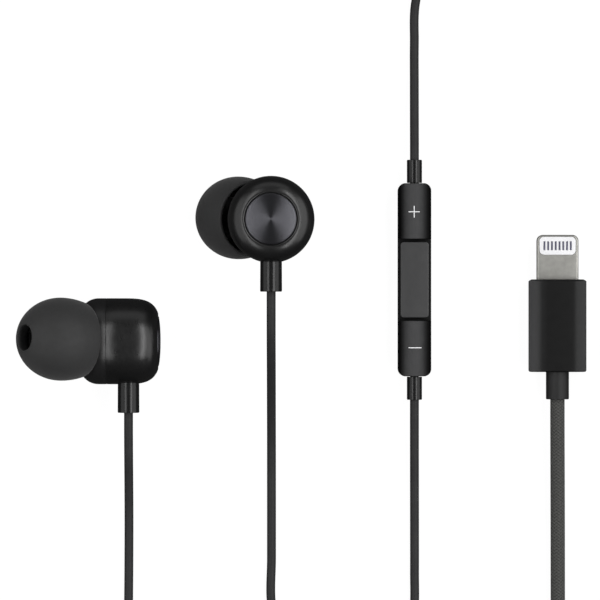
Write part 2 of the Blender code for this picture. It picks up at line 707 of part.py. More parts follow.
def capsule_bar(name, width, height, corner, front, back):
    """A bar with a rounded section in x and z, from back to front along y."""
    obj = outline_solid(name, [rounded_rectangle(width, height, corner)], front - back)
    for vertex in obj.data.vertices:
        x, y, z = vertex.co
        vertex.co = (x, z + (front + back) / 2, -y)
    return obj


def plug_tab(frame):
    """The flat metal tongue, with a window right through it for the contacts."""
    tongue = capsule_bar("plug_tab", TAB_WIDTH, TAB_THICKNESS, 0.7 * MM, TAB_LENGTH, -3 * MM)
    place(add_part(tongue, "tab_steel"), frame)
    nose = slab("tab_nose", TAB_WIDTH + 0.01 * MM, 2 * TAB_LENGTH, 0.95 * MM, -2 * MM, 2 * MM)
    keep_inside(tongue, place(nose, frame))
    window = slab("tab_window", WINDOW_WIDTH, WINDOW_LENGTH, 0.7 * MM, -2 * MM, 2 * MM)
    return cut(tongue, place(window, frame, (0, WINDOW_CENTRE, 0)))


def plug_insulator(frame):
    width = WINDOW_WIDTH - 2 * CONTACT_GAP
    length = WINDOW_LENGTH - 2 * CONTACT_GAP
    half = TAB_THICKNESS / 2 - 0.05 * MM
    block = slab("plug_insulator", width, length, 0.65 * MM, -half, half)
    place(add_part(block, "insulator_white"), frame, (0, WINDOW_CENTRE, 0))
    for index in range(CONTACT_COUNT):
        x = (index - (CONTACT_COUNT - 1) / 2) * CONTACT_PITCH
        slot = box("contact_slot_" + str(index + 1), CONTACT_WIDTH + 2 * CONTACT_GAP,
                   CONTACT_LENGTH + 2 * CONTACT_GAP, 3 * MM)
        cut(block, place(slot, frame, (x, WINDOW_CENTRE, 0)))
        contact = box("contact_" + str(index + 1), CONTACT_WIDTH, CONTACT_LENGTH, 2 * half)
        place(add_part(contact, "contact_metal"), frame, (x, WINDOW_CENTRE, 0))


def plug_boot(frame):
    """The moulded grip, hollow from the front for the tongue and its circuit board."""
    boot = capsule_bar("plug_boot", BOOT_WIDTH, BOOT_HEIGHT, BOOT_CORNER, 0, -BOOT_LENGTH)
    place(add_part(boot, "boot_plastic"), frame)
    round_edges(boot, 0.35 * MM, 60)
    mouth = capsule_bar("boot_mouth", TAB_WIDTH + 2 * GAP, TAB_THICKNESS + 2 * GAP, 0.95 * MM, MM, -3.5 * MM)
    cut(boot, place(mouth, frame))
    chamber = capsule_bar("boot_chamber", 7.0 * MM, 3.2 * MM, 0.6 * MM, -3.0 * MM, -12.6 * MM)
    cut(boot, place(chamber, frame))
    outlet = rod("boot_outlet", 1.3 * MM + GAP, -16 * MM, -12 * MM, 16)
    return cut(boot, place(outlet, frame, (0, 0, 0), (-math.pi / 2, 0, 0)))


def plug():
    frame = make_frame("plug_frame", PLUG, (0, 0, 0))
    plug_tab(frame)
    plug_insulator(frame)
    plug_boot(frame)
    board = add_part(box("plug_circuit_board", 5.6 * MM, 8.0 * MM, 0.8 * MM), "circuit_board")
    place(board, frame, (0, -7.6 * MM, 0))
    cord_relief("plug_strain_relief", NECK_RADIUS, NECK_LENGTH, 1.3 * MM, 1.5 * MM, frame,
                (0, -BOOT_LENGTH, 0), (math.pi / 2, 0, 0), "boot_plastic")


# Splitter: its frame has -y along the main cord

def splitter_shell(name, frame, side):
    """Half of the splitter's case: the lower one for side -1, the upper one for side 1."""
    top = side * SPLITTER_HEIGHT / 2
    middle = side * GAP / 2
    shell = slab(name, SPLITTER_WIDTH, SPLITTER_LENGTH, 1.6 * MM, min(top, middle), max(top, middle))
    place(add_part(shell, "boot_plastic"), frame, (0, -SPLITTER_LENGTH / 2, 0))
    wall = SPLITTER_WALL
    pocket = slab(name + "_pocket", SPLITTER_WIDTH - 2 * wall, SPLITTER_LENGTH - 2 * wall - 1 * MM, 1.1 * MM,
                  -SPLITTER_HEIGHT / 2 + wall, SPLITTER_HEIGHT / 2 - wall)
    cut(shell, place(pocket, frame, (0, -SPLITTER_LENGTH / 2, 0)))
    inlet = capsule_bar(name + "_inlet", 3.4 * MM + 2 * GAP, 1.2 * MM + 2 * GAP, 0.8 * MM, 2 * MM, -3 * MM)
    cut(shell, place(inlet, frame))
    outlet = rod(name + "_outlet", 1.0 * MM + GAP, SPLITTER_LENGTH - 3 * MM, SPLITTER_LENGTH + 1 * MM, 16)
    return cut(shell, place(outlet, frame, (0, 0, 0), (math.pi / 2, 0, 0)))


def splitter():
    frame = make_frame("splitter_frame", SPLITTER, (0, 0, 0))
    splitter_shell("splitter_lower_shell", frame, -1)
    splitter_shell("splitter_upper_shell", frame, 1)
    grommet = capsule_bar("splitter_grommet", 3.4 * MM, 1.2 * MM, 0.5 * MM, 0, -2.4 * MM)
    place(add_part(grommet, "relief_rubber"), frame)
    cord_relief("splitter_strain_relief", 1.65 * MM, 4.3 * MM, 1.0 * MM, 1.4 * MM, frame,
                (0, -SPLITTER_LENGTH, 0), (math.pi / 2, 0, 0), "relief_rubber")


# Cords and coils

def cords():
    left_outer = LEFT_COIL_MEAN + LEFT_COIL_HALF
    main_outer = MAIN_COIL_MEAN + MAIN_COIL_HALF
    cord("left_cord_bud_end", LEFT_CORD_TO_COIL, EAR_CORD, "cord_rubber", LEFT_COIL, left_outer)
    cord("left_cord_splitter_end", LEFT_CORD_FROM_COIL, EAR_CORD, "cord_rubber", LEFT_COIL, left_outer)
    cord("right_cord_bud_end", RIGHT_CORD_TO_REMOTE, EAR_CORD, "cord_rubber")
    cord("right_cord_splitter_end", RIGHT_CORD_TO_SPLITTER, EAR_CORD, "cord_rubber")
    cord("main_cord_splitter_end", MAIN_CORD_TO_COIL, MAIN_CORD, "cord_braid", MAIN_COIL, main_outer)
    cord("main_cord_plug_end", MAIN_CORD_FROM_COIL, MAIN_CORD, "cord_braid", MAIN_COIL, main_outer)
    coil("left_cord_coil", LEFT_COIL, LEFT_COIL_MEAN, LEFT_COIL_HALF, EAR_CORD, "cord_rubber")
    coil("main_cord_coil", MAIN_COIL, MAIN_COIL_MEAN, MAIN_COIL_HALF, MAIN_CORD, "cord_braid")
    coil_tie("left_coil_tie", LEFT_COIL, LEFT_COIL_MEAN, LEFT_COIL_HALF, EAR_CORD, math.radians(180))
    coil_tie("main_coil_tie", MAIN_COIL, MAIN_COIL_MEAN, MAIN_COIL_HALF, MAIN_CORD, math.radians(180))


def main():
    bud("left", LEFT_BUD, math.radians(-90))
    bud("right", RIGHT_BUD, math.radians(180))
    remote()
    plug()
    splitter()
    cords()


main()
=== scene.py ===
"""Looks for the wired earphones: camera, cords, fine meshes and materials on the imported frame.

Shapes, routes and grain depths are in millimetres, and MM turns them into Blender's metres. The row frame is
the part's: +Z up, cords leave along -Y.
"""
import math

import bmesh
import bpy
from mathutils import Matrix, Vector


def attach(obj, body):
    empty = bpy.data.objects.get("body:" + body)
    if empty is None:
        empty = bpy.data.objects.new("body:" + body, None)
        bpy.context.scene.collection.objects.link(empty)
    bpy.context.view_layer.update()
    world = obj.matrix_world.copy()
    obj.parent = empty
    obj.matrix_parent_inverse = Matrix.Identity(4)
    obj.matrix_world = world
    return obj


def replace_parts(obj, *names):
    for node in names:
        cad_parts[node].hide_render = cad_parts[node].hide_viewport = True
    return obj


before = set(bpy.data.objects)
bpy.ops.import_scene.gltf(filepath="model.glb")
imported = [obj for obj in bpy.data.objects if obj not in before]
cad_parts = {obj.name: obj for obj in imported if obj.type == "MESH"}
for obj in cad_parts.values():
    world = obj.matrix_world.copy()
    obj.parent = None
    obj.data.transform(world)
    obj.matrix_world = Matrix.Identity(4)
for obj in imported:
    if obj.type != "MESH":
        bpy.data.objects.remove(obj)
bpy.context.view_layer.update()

MM = 0.001


# Camera, lights and floor

VIEW_CENTRE = Vector((21.225 * MM, -0.835 * MM, 0))
VIEW_WIDTH = 95.77 * MM
LENS_MM = 350
SENSOR_MM = 36


def add_object(name, data):
    thing = bpy.data.objects.new(name, data)
    bpy.context.scene.collection.objects.link(thing)
    return thing


def make_camera():
    data = bpy.data.cameras.new("camera")
    data.sensor_width = SENSOR_MM
    data.lens = LENS_MM
    camera = add_object("camera", data)
    distance = VIEW_WIDTH * LENS_MM / SENSOR_MM
    camera.location = VIEW_CENTRE + Vector((0, 0, distance))
    bpy.context.scene.camera = camera


# Each light's name, the direction it stands in, its distance and size in metres, and its power in watts
LIGHTS = (
    ("strip_right", (0.60, 0.0, 1.0), 1.2, (0.34, 2.4), 12.8),
    ("strip_left", (-0.60, 0.0, 1.0), 1.2, (0.34, 2.4), 9.0),
    ("side_right", (1.0, 0.0, 0.44), 1.3, (1.0, 2.0), 8.5),
    ("side_left", (-1.0, 0.0, 0.44), 1.3, (1.0, 2.0), 5.5),
    ("overhead", (0.0, 0.0, 1.0), 1.5, (0.36, 0.6), 0.05),
    ("back", (0.0, 1.0, 0.27), 1.4, (1.6, 0.66), 1.7),
)
WHITE = (1, 1, 1, 1)
STUDIO_GLOW = 0.07
FLOOR_SIZE = 8
FLOOR_DROP = 0.06 * MM
FLOOR_GLOW = 0.94           # with the light on it, the camera sees the floor as white
FLOOR_TONE = (0.1, 0.1, 0.1, 1)
FLOOR_REFLECTED_TONE = (0.04, 0.04, 0.04, 1)


def area_light(name, direction, distance, size, power):
    """A soft rectangle that looks at the middle of the set, its long side along Y."""
    data = bpy.data.lights.new(name, "AREA")
    data.shape = "RECTANGLE"
    data.size, data.size_y = size
    data.energy = power
    light = add_object(name, data)
    light.visible_camera = False
    away = Vector(direction).normalized()
    across = Vector((0, 1, 0)).cross(away).normalized()
    along = away.cross(across)
    turned = Matrix((across, along, away)).transposed().to_4x4()
    light.matrix_world = Matrix.Translation(VIEW_CENTRE + away * distance) @ turned


def add_shader(tree, kind, **values):
    node = tree.nodes.new(kind)
    for socket, value in values.items():
        node.inputs[socket].default_value = value
    return node


def split_by_ray(tree, seen, others, output_kind):
    """Give the camera one shader and every other ray another."""
    path = tree.nodes.new("ShaderNodeLightPath")
    mix = tree.nodes.new("ShaderNodeMixShader")
    output = tree.nodes.new(output_kind)
    tree.links.new(path.outputs["Is Camera Ray"], mix.inputs[0])
    tree.links.new(others.outputs[0], mix.inputs[1])
    tree.links.new(seen.outputs[0], mix.inputs[2])
    tree.links.new(mix.outputs[0], output.inputs[0])


def make_world():
    """A dim studio all round, and white where the camera sees past the floor."""
    world = bpy.data.worlds.new("studio")
    world.use_nodes = True
    tree = world.node_tree
    tree.nodes.clear()
    dim = add_shader(tree, "ShaderNodeBackground", Color=WHITE, Strength=STUDIO_GLOW)
    white = add_shader(tree, "ShaderNodeBackground", Color=WHITE, Strength=1.0)
    split_by_ray(tree, white, dim, "ShaderNodeOutputWorld")
    bpy.context.scene.world = world
    bpy.context.scene.view_settings.view_transform = "Standard"


def make_floor():
    """A white table. What the dark plastic reflects of it is dimmer, as with a tented light."""
    bpy.ops.mesh.primitive_plane_add(size=FLOOR_SIZE, location=(0, 0, -FLOOR_DROP))
    floor = bpy.context.object
    floor.name = "floor"
    material = bpy.data.materials.new("floor_white")
    material.use_nodes = True
    tree = material.node_tree
    tree.nodes.clear()
    bright = add_shader(tree, "ShaderNodeBsdfDiffuse", Color=FLOOR_TONE)
    glow = add_shader(tree, "ShaderNodeEmission", Strength=FLOOR_GLOW)
    seen = tree.nodes.new("ShaderNodeAddShader")
    tree.links.new(bright.outputs[0], seen.inputs[0])
    tree.links.new(glow.outputs[0], seen.inputs[1])
    dim = add_shader(tree, "ShaderNodeBsdfDiffuse", Color=FLOOR_REFLECTED_TONE)
    split_by_ray(tree, seen, dim, "ShaderNodeOutputMaterial")
    floor.data.materials.append(material)


make_camera()
for light in LIGHTS:
    area_light(*light)
make_world()
make_floor()


# Materials

MATERIALS = {}
NOISE_LOW = 0.3             # most of a noise texture's values lie between these two
NOISE_HIGH = 0.7


def principled(name, colour, roughness, metallic=0.0, **settings):
    """Make and register a material; settings name further sockets of its Principled shader."""
    material = bpy.data.materials.new(name)
    material.use_nodes = True
    shader = material.node_tree.nodes["Principled BSDF"]
    shader.inputs["Base Color"].default_value = (*colour, 1)
    shader.inputs["Roughness"].default_value = roughness
    shader.inputs["Metallic"].default_value = metallic
    for socket, value in settings.items():
        shader.inputs[socket.replace("_", " ")].default_value = value
    MATERIALS[name] = material
    return material


def add_node(material, kind, **values):
    node = material.node_tree.nodes.new(kind)
    for name, value in values.items():
        setattr(node, name, value)
    return node


def link(material, source, target):
    material.node_tree.links.new(source, target)


def shader_of(material):
    return material.node_tree.nodes["Principled BSDF"]


def add_placed(material, kind, **values):
    """A node fed with the piece's own coordinates."""
    place = add_node(material, "ShaderNodeTexCoord")
    node = add_node(material, kind, **values)
    link(material, place.outputs["Object"], node.inputs["Vector"])
    return node


def noise(material, scale, detail, stretch=(1, 1, 1)):
    """Noise in the piece's own coordinates; scale counts features a metre."""
    mapping = add_placed(material, "ShaderNodeMapping")
    mapping.inputs["Scale"].default_value = stretch
    texture = add_node(material, "ShaderNodeTexNoise")
    texture.inputs["Scale"].default_value = scale
    texture.inputs["Detail"].default_value = detail
    link(material, mapping.outputs["Vector"], texture.inputs["Vector"])
    return texture.outputs["Fac"]


def spread(material, value, low, high):
    """Turn a noise value into low to high."""
    node = add_node(material, "ShaderNodeMapRange")
    node.inputs["From Min"].default_value = NOISE_LOW
    node.inputs["From Max"].default_value = NOISE_HIGH
    node.inputs["To Min"].default_value = low
    node.inputs["To Max"].default_value = high
    link(material, value, node.inputs["Value"])
    return node.outputs["Result"]


def vary_colour(material, value, dark, light):
    ramp = add_node(material, "ShaderNodeValToRGB")
    ramp.color_ramp.elements[0].position = NOISE_LOW
    ramp.color_ramp.elements[0].color = (*dark, 1)
    ramp.color_ramp.elements[1].position = NOISE_HIGH
    ramp.color_ramp.elements[1].color = (*light, 1)
    link(material, value, ramp.inputs["Fac"])
    link(material, ramp.outputs["Color"], shader_of(material).inputs["Base Color"])


def bump(material, height, depth, strength=1.0):
    """Relief from a 0 to 1 height, its depth in millimetres."""
    node = add_node(material, "ShaderNodeBump")
    node.inputs["Distance"].default_value = depth * MM
    node.inputs["Strength"].default_value = strength
    link(material, height, node.inputs["Height"])
    link(material, node.outputs["Normal"], shader_of(material).inputs["Normal"])


def vary_gloss(material, value, rough):
    link(material, spread(material, value, *rough), shader_of(material).inputs["Roughness"])


def grey(value):
    """A grey with a trace of blue."""
    return (value, value, value * 1.02)


def halfway(dark, light):
    return [(a + b) / 2 for a, b in zip(dark, light)]


def moulded(name, dark, light, rough, grain_scale, grain_depth, **settings):
    """Moulded plastic or rubber: fine grain in the surface, slow changes of tone and gloss."""
    tone_scale = 350
    gloss_scale = 700
    material = principled(name, halfway(dark, light), sum(rough) / 2, **settings)
    vary_colour(material, noise(material, tone_scale, 4), dark, light)
    vary_gloss(material, noise(material, gloss_scale, 5), rough)
    bump(material, noise(material, grain_scale, 3), grain_depth)


def painted_edge_shading(name, stops, middle, rough, metallic, **settings):
    """Painted light and shade: a tone that changes from a line along y to a piece's edges, standing in for
    how light falls across the piece.

    stops are (distance from the line in millimetres, tone) and middle is the line's x in millimetres."""
    reach = stops[-1][0]
    material = principled(name, grey(stops[0][1]), sum(rough) / 2, metallic, **settings)
    split = add_placed(material, "ShaderNodeSeparateXYZ")
    aside = add_node(material, "ShaderNodeMath", operation="SUBTRACT")
    aside.inputs[1].default_value = middle * MM
    link(material, split.outputs["X"], aside.inputs[0])
    away = add_node(material, "ShaderNodeMath", operation="ABSOLUTE")
    link(material, aside.outputs[0], away.inputs[0])
    share = add_node(material, "ShaderNodeMath", operation="DIVIDE")
    share.inputs[1].default_value = reach * MM
    link(material, away.outputs[0], share.inputs[0])
    # The ramp's tones are painted shade or a painted highlight toward the piece's edges.
    ramp = add_node(material, "ShaderNodeValToRGB")
    elements = ramp.color_ramp.elements
    elements.remove(elements[1])
    elements[0].position = stops[0][0] / reach
    elements[0].color = (*grey(stops[0][1]), 1)
    for position, tone in stops[1:]:
        elements.new(position / reach).color = (*grey(tone), 1)
    link(material, share.outputs[0], ramp.inputs["Fac"])
    mottle = add_node(material, "ShaderNodeMix", data_type="RGBA", blend_type="MULTIPLY")
    mottle.inputs["Factor"].default_value = 1.0
    link(material, ramp.outputs["Color"], mottle.inputs["A"])
    shade = add_node(material, "ShaderNodeValToRGB")
    shade.color_ramp.elements[0].color = (0.88, 0.88, 0.88, 1)
    link(material, noise(material, 500, 5), shade.inputs["Fac"])
    link(material, shade.outputs["Color"], mottle.inputs["B"])
    link(material, mottle.outputs["Result"], shader_of(material).inputs["Base Color"])
    vary_gloss(material, noise(material, 900, 5), rough)
    bump(material, noise(material, 12000, 3), 0.003)


def gloss_shell_material():
    """Polished black shell: faint polishing marks and dust-fine pits."""
    material = principled("gloss_shell", grey(0.006), 0.30, Specular_IOR_Level=0.6)
    vary_colour(material, noise(material, 260, 4), grey(0.005), grey(0.007))
    vary_gloss(material, noise(material, 900, 6, (1, 1, 3)), (0.27, 0.33))
    bump(material, noise(material, 1500, 4), 0.004, 0.6)


def spun_cap_material():
    """Dark anodised disc with fine turned rings and a radial sheen."""
    material = principled("spun_cap", (0.11, 0.11, 0.12), 0.34, 1.0,
                          Anisotropic=0.82, Anisotropic_Rotation=0.25)
    rings = add_placed(material, "ShaderNodeTexWave", wave_type="RINGS", rings_direction="Z")
    rings.inputs["Scale"].default_value = 2600
    rings.inputs["Distortion"].default_value = 0.6
    rings.inputs["Detail"].default_value = 2
    bump(material, rings.outputs["Fac"], 0.004, 0.7)
    vary_colour(material, rings.outputs["Fac"], (0.088, 0.088, 0.098), (0.13, 0.13, 0.142))
    tangent = add_node(material, "ShaderNodeTangent", direction_type="RADIAL", axis="Z")
    link(material, tangent.outputs["Tangent"], shader_of(material).inputs["Tangent"])


def brushed_metal(name, colour, rough, stretch=(1, 1, 1)):
    material = principled(name, colour, sum(rough) / 2, 1.0)
    fine = noise(material, 5000, 4, stretch)
    vary_gloss(material, fine, rough)
    darker = [c * 0.86 for c in colour]
    vary_colour(material, noise(material, 1200, 5, stretch), darker, colour)
    bump(material, fine, 0.003, 0.5)


def woven_material(name, dark, light, along, around, depth):
    """Two families of helical yarns that pass over and under each other, from the tube's UVs.

    U runs in metres along the cord and V once round it; along and around count yarns a metre and a turn."""
    material = principled(name, halfway(dark, light), 0.75, Sheen_Weight=0.25, Sheen_Roughness=0.45)
    uv = add_node(material, "ShaderNodeUVMap", uv_map="UVMap")
    split = add_node(material, "ShaderNodeSeparateXYZ")
    link(material, uv.outputs["UV"], split.inputs["Vector"])

    def math_node(operation, a, b=None):
        node = add_node(material, "ShaderNodeMath", operation=operation)
        for socket, value in zip(node.inputs, (a, b)):
            if value is None:
                continue
            if isinstance(value, (int, float)):
                socket.default_value = value
            else:
                link(material, value, socket)
        return node.outputs[0]

    u = math_node("MULTIPLY", split.outputs["X"], along)
    v = math_node("MULTIPLY", split.outputs["Y"], around)
    left_hand = math_node("ADD", u, v)
    right_hand = math_node("SUBTRACT", u, v)
    left_yarn = math_node("ABSOLUTE", math_node("SINE", math_node("MULTIPLY", left_hand, math.pi)))
    right_yarn = math_node("ABSOLUTE", math_node("SINE", math_node("MULTIPLY", right_hand, math.pi)))
    cell = math_node("ADD", math_node("FLOOR", left_hand), math_node("FLOOR", right_hand))
    over = math_node("ABSOLUTE", math_node("MODULO", cell, 2))
    low = math_node("MULTIPLY", right_yarn, math_node("SUBTRACT", 1, over))
    height = math_node("ADD", math_node("MULTIPLY", left_yarn, over), low)
    # Tone follows the yarns' height: light on their crowns and dark in the grooves between them, a painted
    # shade.
    vary_colour(material, height, dark, light)
    fibre = math_node("MULTIPLY", noise(material, 9000, 3), 0.25)
    bump(material, math_node("ADD", height, fibre), depth)


def circuit_material():
    material = principled("circuit_board", (0.02, 0.12, 0.05), 0.4, Coat_Weight=0.3)
    tracks = add_placed(material, "ShaderNodeTexBrick")
    tracks.inputs["Scale"].default_value = 900
    tracks.inputs["Color1"].default_value = (0.015, 0.12, 0.045, 1)
    tracks.inputs["Color2"].default_value = (0.02, 0.15, 0.06, 1)
    tracks.inputs["Mortar"].default_value = (0.03, 0.24, 0.10, 1)
    link(material, tracks.outputs["Color"], shader_of(material).inputs["Base Color"])
    bump(material, tracks.outputs["Fac"], 0.01)


def mesh_screen_material():
    """Fine acoustic mesh: a square weave of steel wire."""
    material = principled("nozzle_steel", (0.12, 0.12, 0.12), 0.4, 0.9)
    checks = add_placed(material, "ShaderNodeTexChecker")
    checks.inputs["Scale"].default_value = 9000
    checks.inputs["Color1"].default_value = (0.02, 0.02, 0.02, 1)
    checks.inputs["Color2"].default_value = (0.16, 0.16, 0.16, 1)
    link(material, checks.outputs["Color"], shader_of(material).inputs["Base Color"])
    bump(material, checks.outputs["Fac"], 0.02)


def make_materials():
    gloss_shell_material()
    moulded("matte_shell", grey(0.009), grey(0.012), (0.30, 0.36), 14000, 0.006)
    spun_cap_material()
    moulded("silicone", grey(0.0118), grey(0.014), (0.62, 0.74), 6000, 0.006,
            Sheen_Weight=0.15, Sheen_Roughness=0.5)
    # Darker core silicone, which also stands as painted shade inside the tip's mouth.
    moulded("silicone_core_painted_shade", grey(0.004), grey(0.006), (0.6, 0.7), 6000, 0.006)
    mesh_screen_material()
    moulded("driver_plastic", grey(0.03), grey(0.045), (0.4, 0.5), 9000, 0.01)
    brushed_metal("magnet_steel", (0.5, 0.5, 0.52), (0.25, 0.4))
    moulded("diaphragm_film", (0.30, 0.28, 0.22), (0.36, 0.34, 0.28), (0.25, 0.35), 3000, 0.01,
            Coat_Weight=0.4)
    brushed_metal("copper", (0.75, 0.40, 0.22), (0.25, 0.4), (1, 1, 6))
    moulded("relief_rubber", grey(0.006), grey(0.008), (0.21, 0.26), 9000, 0.002, Specular_IOR_Level=0.38)
    # Volume caps: the tone falls from the middle to the long edges, painted shade at the edges.
    painted_edge_shading("remote_gloss",
           ((0.0, 0.088), (0.5, 0.076), (1.1, 0.044), (1.65, 0.020), (2.15, 0.008), (2.6, 0.004)),
           -0.15, (0.46, 0.52), 1.0)
    moulded("back_black", grey(0.006), grey(0.009), (0.26, 0.34), 12000, 0.003)
    moulded("button_satin", grey(0.032), grey(0.035), (0.42, 0.5), 14000, 0.006)
    moulded("plate_black", grey(0.002), grey(0.003), (0.5, 0.6), 12000, 0.002, Specular_IOR_Level=0.15)
    moulded("splitter_black", grey(0.008), grey(0.012), (0.36, 0.44), 12000, 0.004)
    moulded("neck_satin", grey(0.011), grey(0.014), (0.5, 0.58), 9000, 0.004, Specular_IOR_Level=0.3)
    moulded("mark_white", grey(0.78), grey(0.84), (0.4, 0.5), 9000, 0.004)
    circuit_material()
    brushed_metal("switch_metal", (0.70, 0.70, 0.68), (0.25, 0.4))
    brushed_metal("tab_steel", (0.42, 0.415, 0.39), (0.42, 0.5))
    moulded("insulator_white", grey(0.78), grey(0.82), (0.3, 0.4), 8000, 0.004)
    brushed_metal("contact_metal", (0.20, 0.20, 0.27), (0.3, 0.45), (1, 4, 1))
    # The boot's tone rises toward its rounded sides: a painted highlight in place of light reflected there.
    painted_edge_shading("boot_plastic", ((1.9, 0.003), (2.7, 0.009), (3.5, 0.030), (4.2, 0.062), (4.85, 0.105)),
           0.25, (0.42, 0.48), 0.0, Specular_IOR_Level=0.2)
    moulded("cord_rubber", grey(0.022), grey(0.027), (0.48, 0.54), 6000, 0.004, Specular_IOR_Level=0.15)
    woven_material("cord_braid", (0.008, 0.008, 0.0075), (0.052, 0.052, 0.048), 1900, 10, 0.06)
    moulded("tie_fabric", grey(0.010), grey(0.022), (0.8, 0.9), 7000, 0.05, Sheen_Weight=0.3)


make_materials()


# Mesh building: shapes are in millimetres, and make_piece takes verts in metres

LEAST_CORNER = 0.02


def in_metres(points):
    return [tuple(value * MM for value in point) for point in points]


def closed_solid(name, verts, faces, matrix):
    """An object with a closed mesh, its faces turned outward."""
    mesh = bpy.data.meshes.new(name)
    mesh.from_pydata(verts, [], faces)
    shape = bmesh.new()
    shape.from_mesh(mesh)
    bmesh.ops.recalc_face_normals(shape, faces=shape.faces)
    shape.to_mesh(mesh)
    shape.free()
    solid = add_object(name, mesh)
    solid.matrix_world = matrix
    return solid


def shade(mesh, sharp):
    mesh.shade_smooth()
    mesh.set_sharp_from_angle(angle=math.radians(sharp))


def make_piece(name, verts, faces, material, body, matrix, sharp):
    """A mesh piece in the row frame that rides on a body, from verts in metres."""
    piece = closed_solid(name, verts, faces, matrix)
    shade(piece.data, sharp)
    piece.data.materials.append(MATERIALS[material])
    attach(piece, body)
    return piece


def lathe_mesh(profile, sides, closed=False):
    """Verts and faces of (radius, height) points turned about z, outer side running down."""
    verts = []
    rows = []
    for radius, height in profile:
        if radius < 1e-9:
            rows.append([len(verts)])
            verts.append((0, 0, height))
            continue
        row = []
        for k in range(sides):
            angle = 2 * math.pi * k / sides
            row.append(len(verts))
            verts.append((radius * math.cos(angle), radius * math.sin(angle), height))
        rows.append(row)
    pairs = list(zip(rows, rows[1:]))
    if closed:
        pairs.append((rows[-1], rows[0]))
    faces = []
    for upper, lower in pairs:
        for k in range(sides):
            n = (k + 1) % sides
            if len(upper) == 1 and len(lower) == 1:
                continue
            if len(upper) == 1:
                faces.append((upper[0], lower[k], lower[n]))
            elif len(lower) == 1:
                faces.append((upper[k], lower[0], upper[n]))
            else:
                faces.append((upper[k], lower[k], lower[n], upper[n]))
    return verts, faces


def lathe(name, profile, material, body, matrix, sides, closed=False, sharp=35):
    verts, faces = lathe_mesh(profile, sides, closed)
    return make_piece(name, in_metres(verts), faces, material, body, matrix, sharp)


def skin(loops, ring=False):
    """Verts and faces over a run of equal-count loops, closed at both ends or joined as a ring."""
    count = len(loops[0])
    verts = [point for loop in loops for point in loop]
    last = len(verts) - count
    faces = [] if ring else [tuple(range(count))[::-1]]
    for a in range(0, len(verts) if ring else last, count):
        b = (a + count) % len(verts)
        for k in range(count):
            n = (k + 1) % count
            faces.append((a + k, a + n, b + n, b + k))
    if not ring:
        faces.append(tuple(range(last, last + count)))
    return verts, faces


def loft(name, sections, material, body, matrix, sharp=35):
    verts, faces = skin(sections)
    return make_piece(name, in_metres(verts), faces, material, body, matrix, sharp)


def ellipse_arc(centre, radial, axial, start, stop, steps):
    points = []
    for i in range(steps + 1):
        angle = math.radians(start + (stop - start) * i / steps)
        points.append((centre[0] + radial * math.cos(angle), centre[1] + axial * math.sin(angle)))
    return points


def arc(centre, radius, start, stop, steps):
    return ellipse_arc(centre, radius, radius, start, stop, steps)


def rounded_rectangle(width, length, corner, steps=8):
    """Anticlockwise outline, always 4 * (steps + 1) points."""
    corner = max(corner, LEAST_CORNER)
    points = []
    for i, (sx, sy) in enumerate(((1, 1), (-1, 1), (-1, -1), (1, -1))):
        centre = (sx * (width / 2 - corner), sy * (length / 2 - corner))
        points += arc(centre, corner, 90 * i, 90 * i + 90, steps)
    return points


def edge_steps(radius):
    """(inset, depth) pairs down a rounded edge: from the flat face to the full outline."""
    steps = 5
    pairs = []
    for i in range(steps + 1):
        angle = math.radians(90 * i / steps)
        pairs.append((radius * (1 - math.sin(angle)), radius * (1 - math.cos(angle))))
    return pairs


def block_sections(width, length, corner, bottom, top, low_edge, high_edge):
    """Sections of a rounded block standing in z, with its lower and upper edges rounded."""
    stations = [(inset, bottom + depth) for inset, depth in edge_steps(low_edge)]
    stations += [(inset, top - depth) for inset, depth in reversed(edge_steps(high_edge))]
    sections = []
    for inset, z in stations:
        outline = rounded_rectangle(width - 2 * inset, length - 2 * inset, corner - inset)
        sections.append([(x, y, z) for x, y in outline])
    return sections


# Cords

def curve_point(before, start, end, after, t):
    """Catmull-Rom point between start and end."""
    return 0.5 * (2 * start + (end - before) * t
                  + (2 * before - 5 * start + 4 * end - after) * t ** 2
                  + (3 * start - before - 3 * end + after) * t ** 3)


def travelled_along(points):
    """The distance run at each point of a line."""
    travelled = [0]
    for a, b in zip(points, points[1:]):
        travelled.append(travelled[-1] + (b - a).length)
    return travelled


def smooth_route(route, spacing):
    """Evenly spaced points, in metres, on a smooth curve through a route's points in millimetres."""
    substeps = 20
    knots = [Vector(point) * MM for point in route]
    knots = [2 * knots[0] - knots[1]] + knots + [2 * knots[-1] - knots[-2]]
    dense = [knots[1]]
    for i in range(1, len(knots) - 2):
        for step in range(1, substeps + 1):
            dense.append(curve_point(*knots[i - 1:i + 3], step / substeps))
    travelled = travelled_along(dense)
    count = round(travelled[-1] / spacing)
    points = []
    j = 0
    for i in range(count + 1):
        target = travelled[-1] * i / count
        while j < len(dense) - 2 and travelled[j + 1] < target:
            j += 1
        share = (target - travelled[j]) / (travelled[j + 1] - travelled[j])
        points.append(dense[j].lerp(dense[j + 1], share))
    return points


def tube(name, points, radius, material, sides):
    """A closed round tube with UVs: U in metres along it, V once round it."""
    tangents = []
    for i, point in enumerate(points):
        ahead = points[min(i + 1, len(points) - 1)]
        behind = points[max(i - 1, 0)]
        tangents.append((ahead - behind).normalized())
    side = tangents[0].cross(Vector((0, 0, 1)))
    loops = []
    for point, tangent in zip(points, tangents):
        side = (side - tangent * side.dot(tangent)).normalized()
        up = side.cross(tangent)
        angles = [2 * math.pi * k / sides for k in range(sides)]
        loops.append([point + (side * math.cos(a) + up * math.sin(a)) * radius for a in angles])
    verts, faces = skin(loops)
    piece = make_piece(name, verts, faces, material, "root", Matrix(), 60)
    add_tube_uvs(piece.data, points, sides)
    return piece


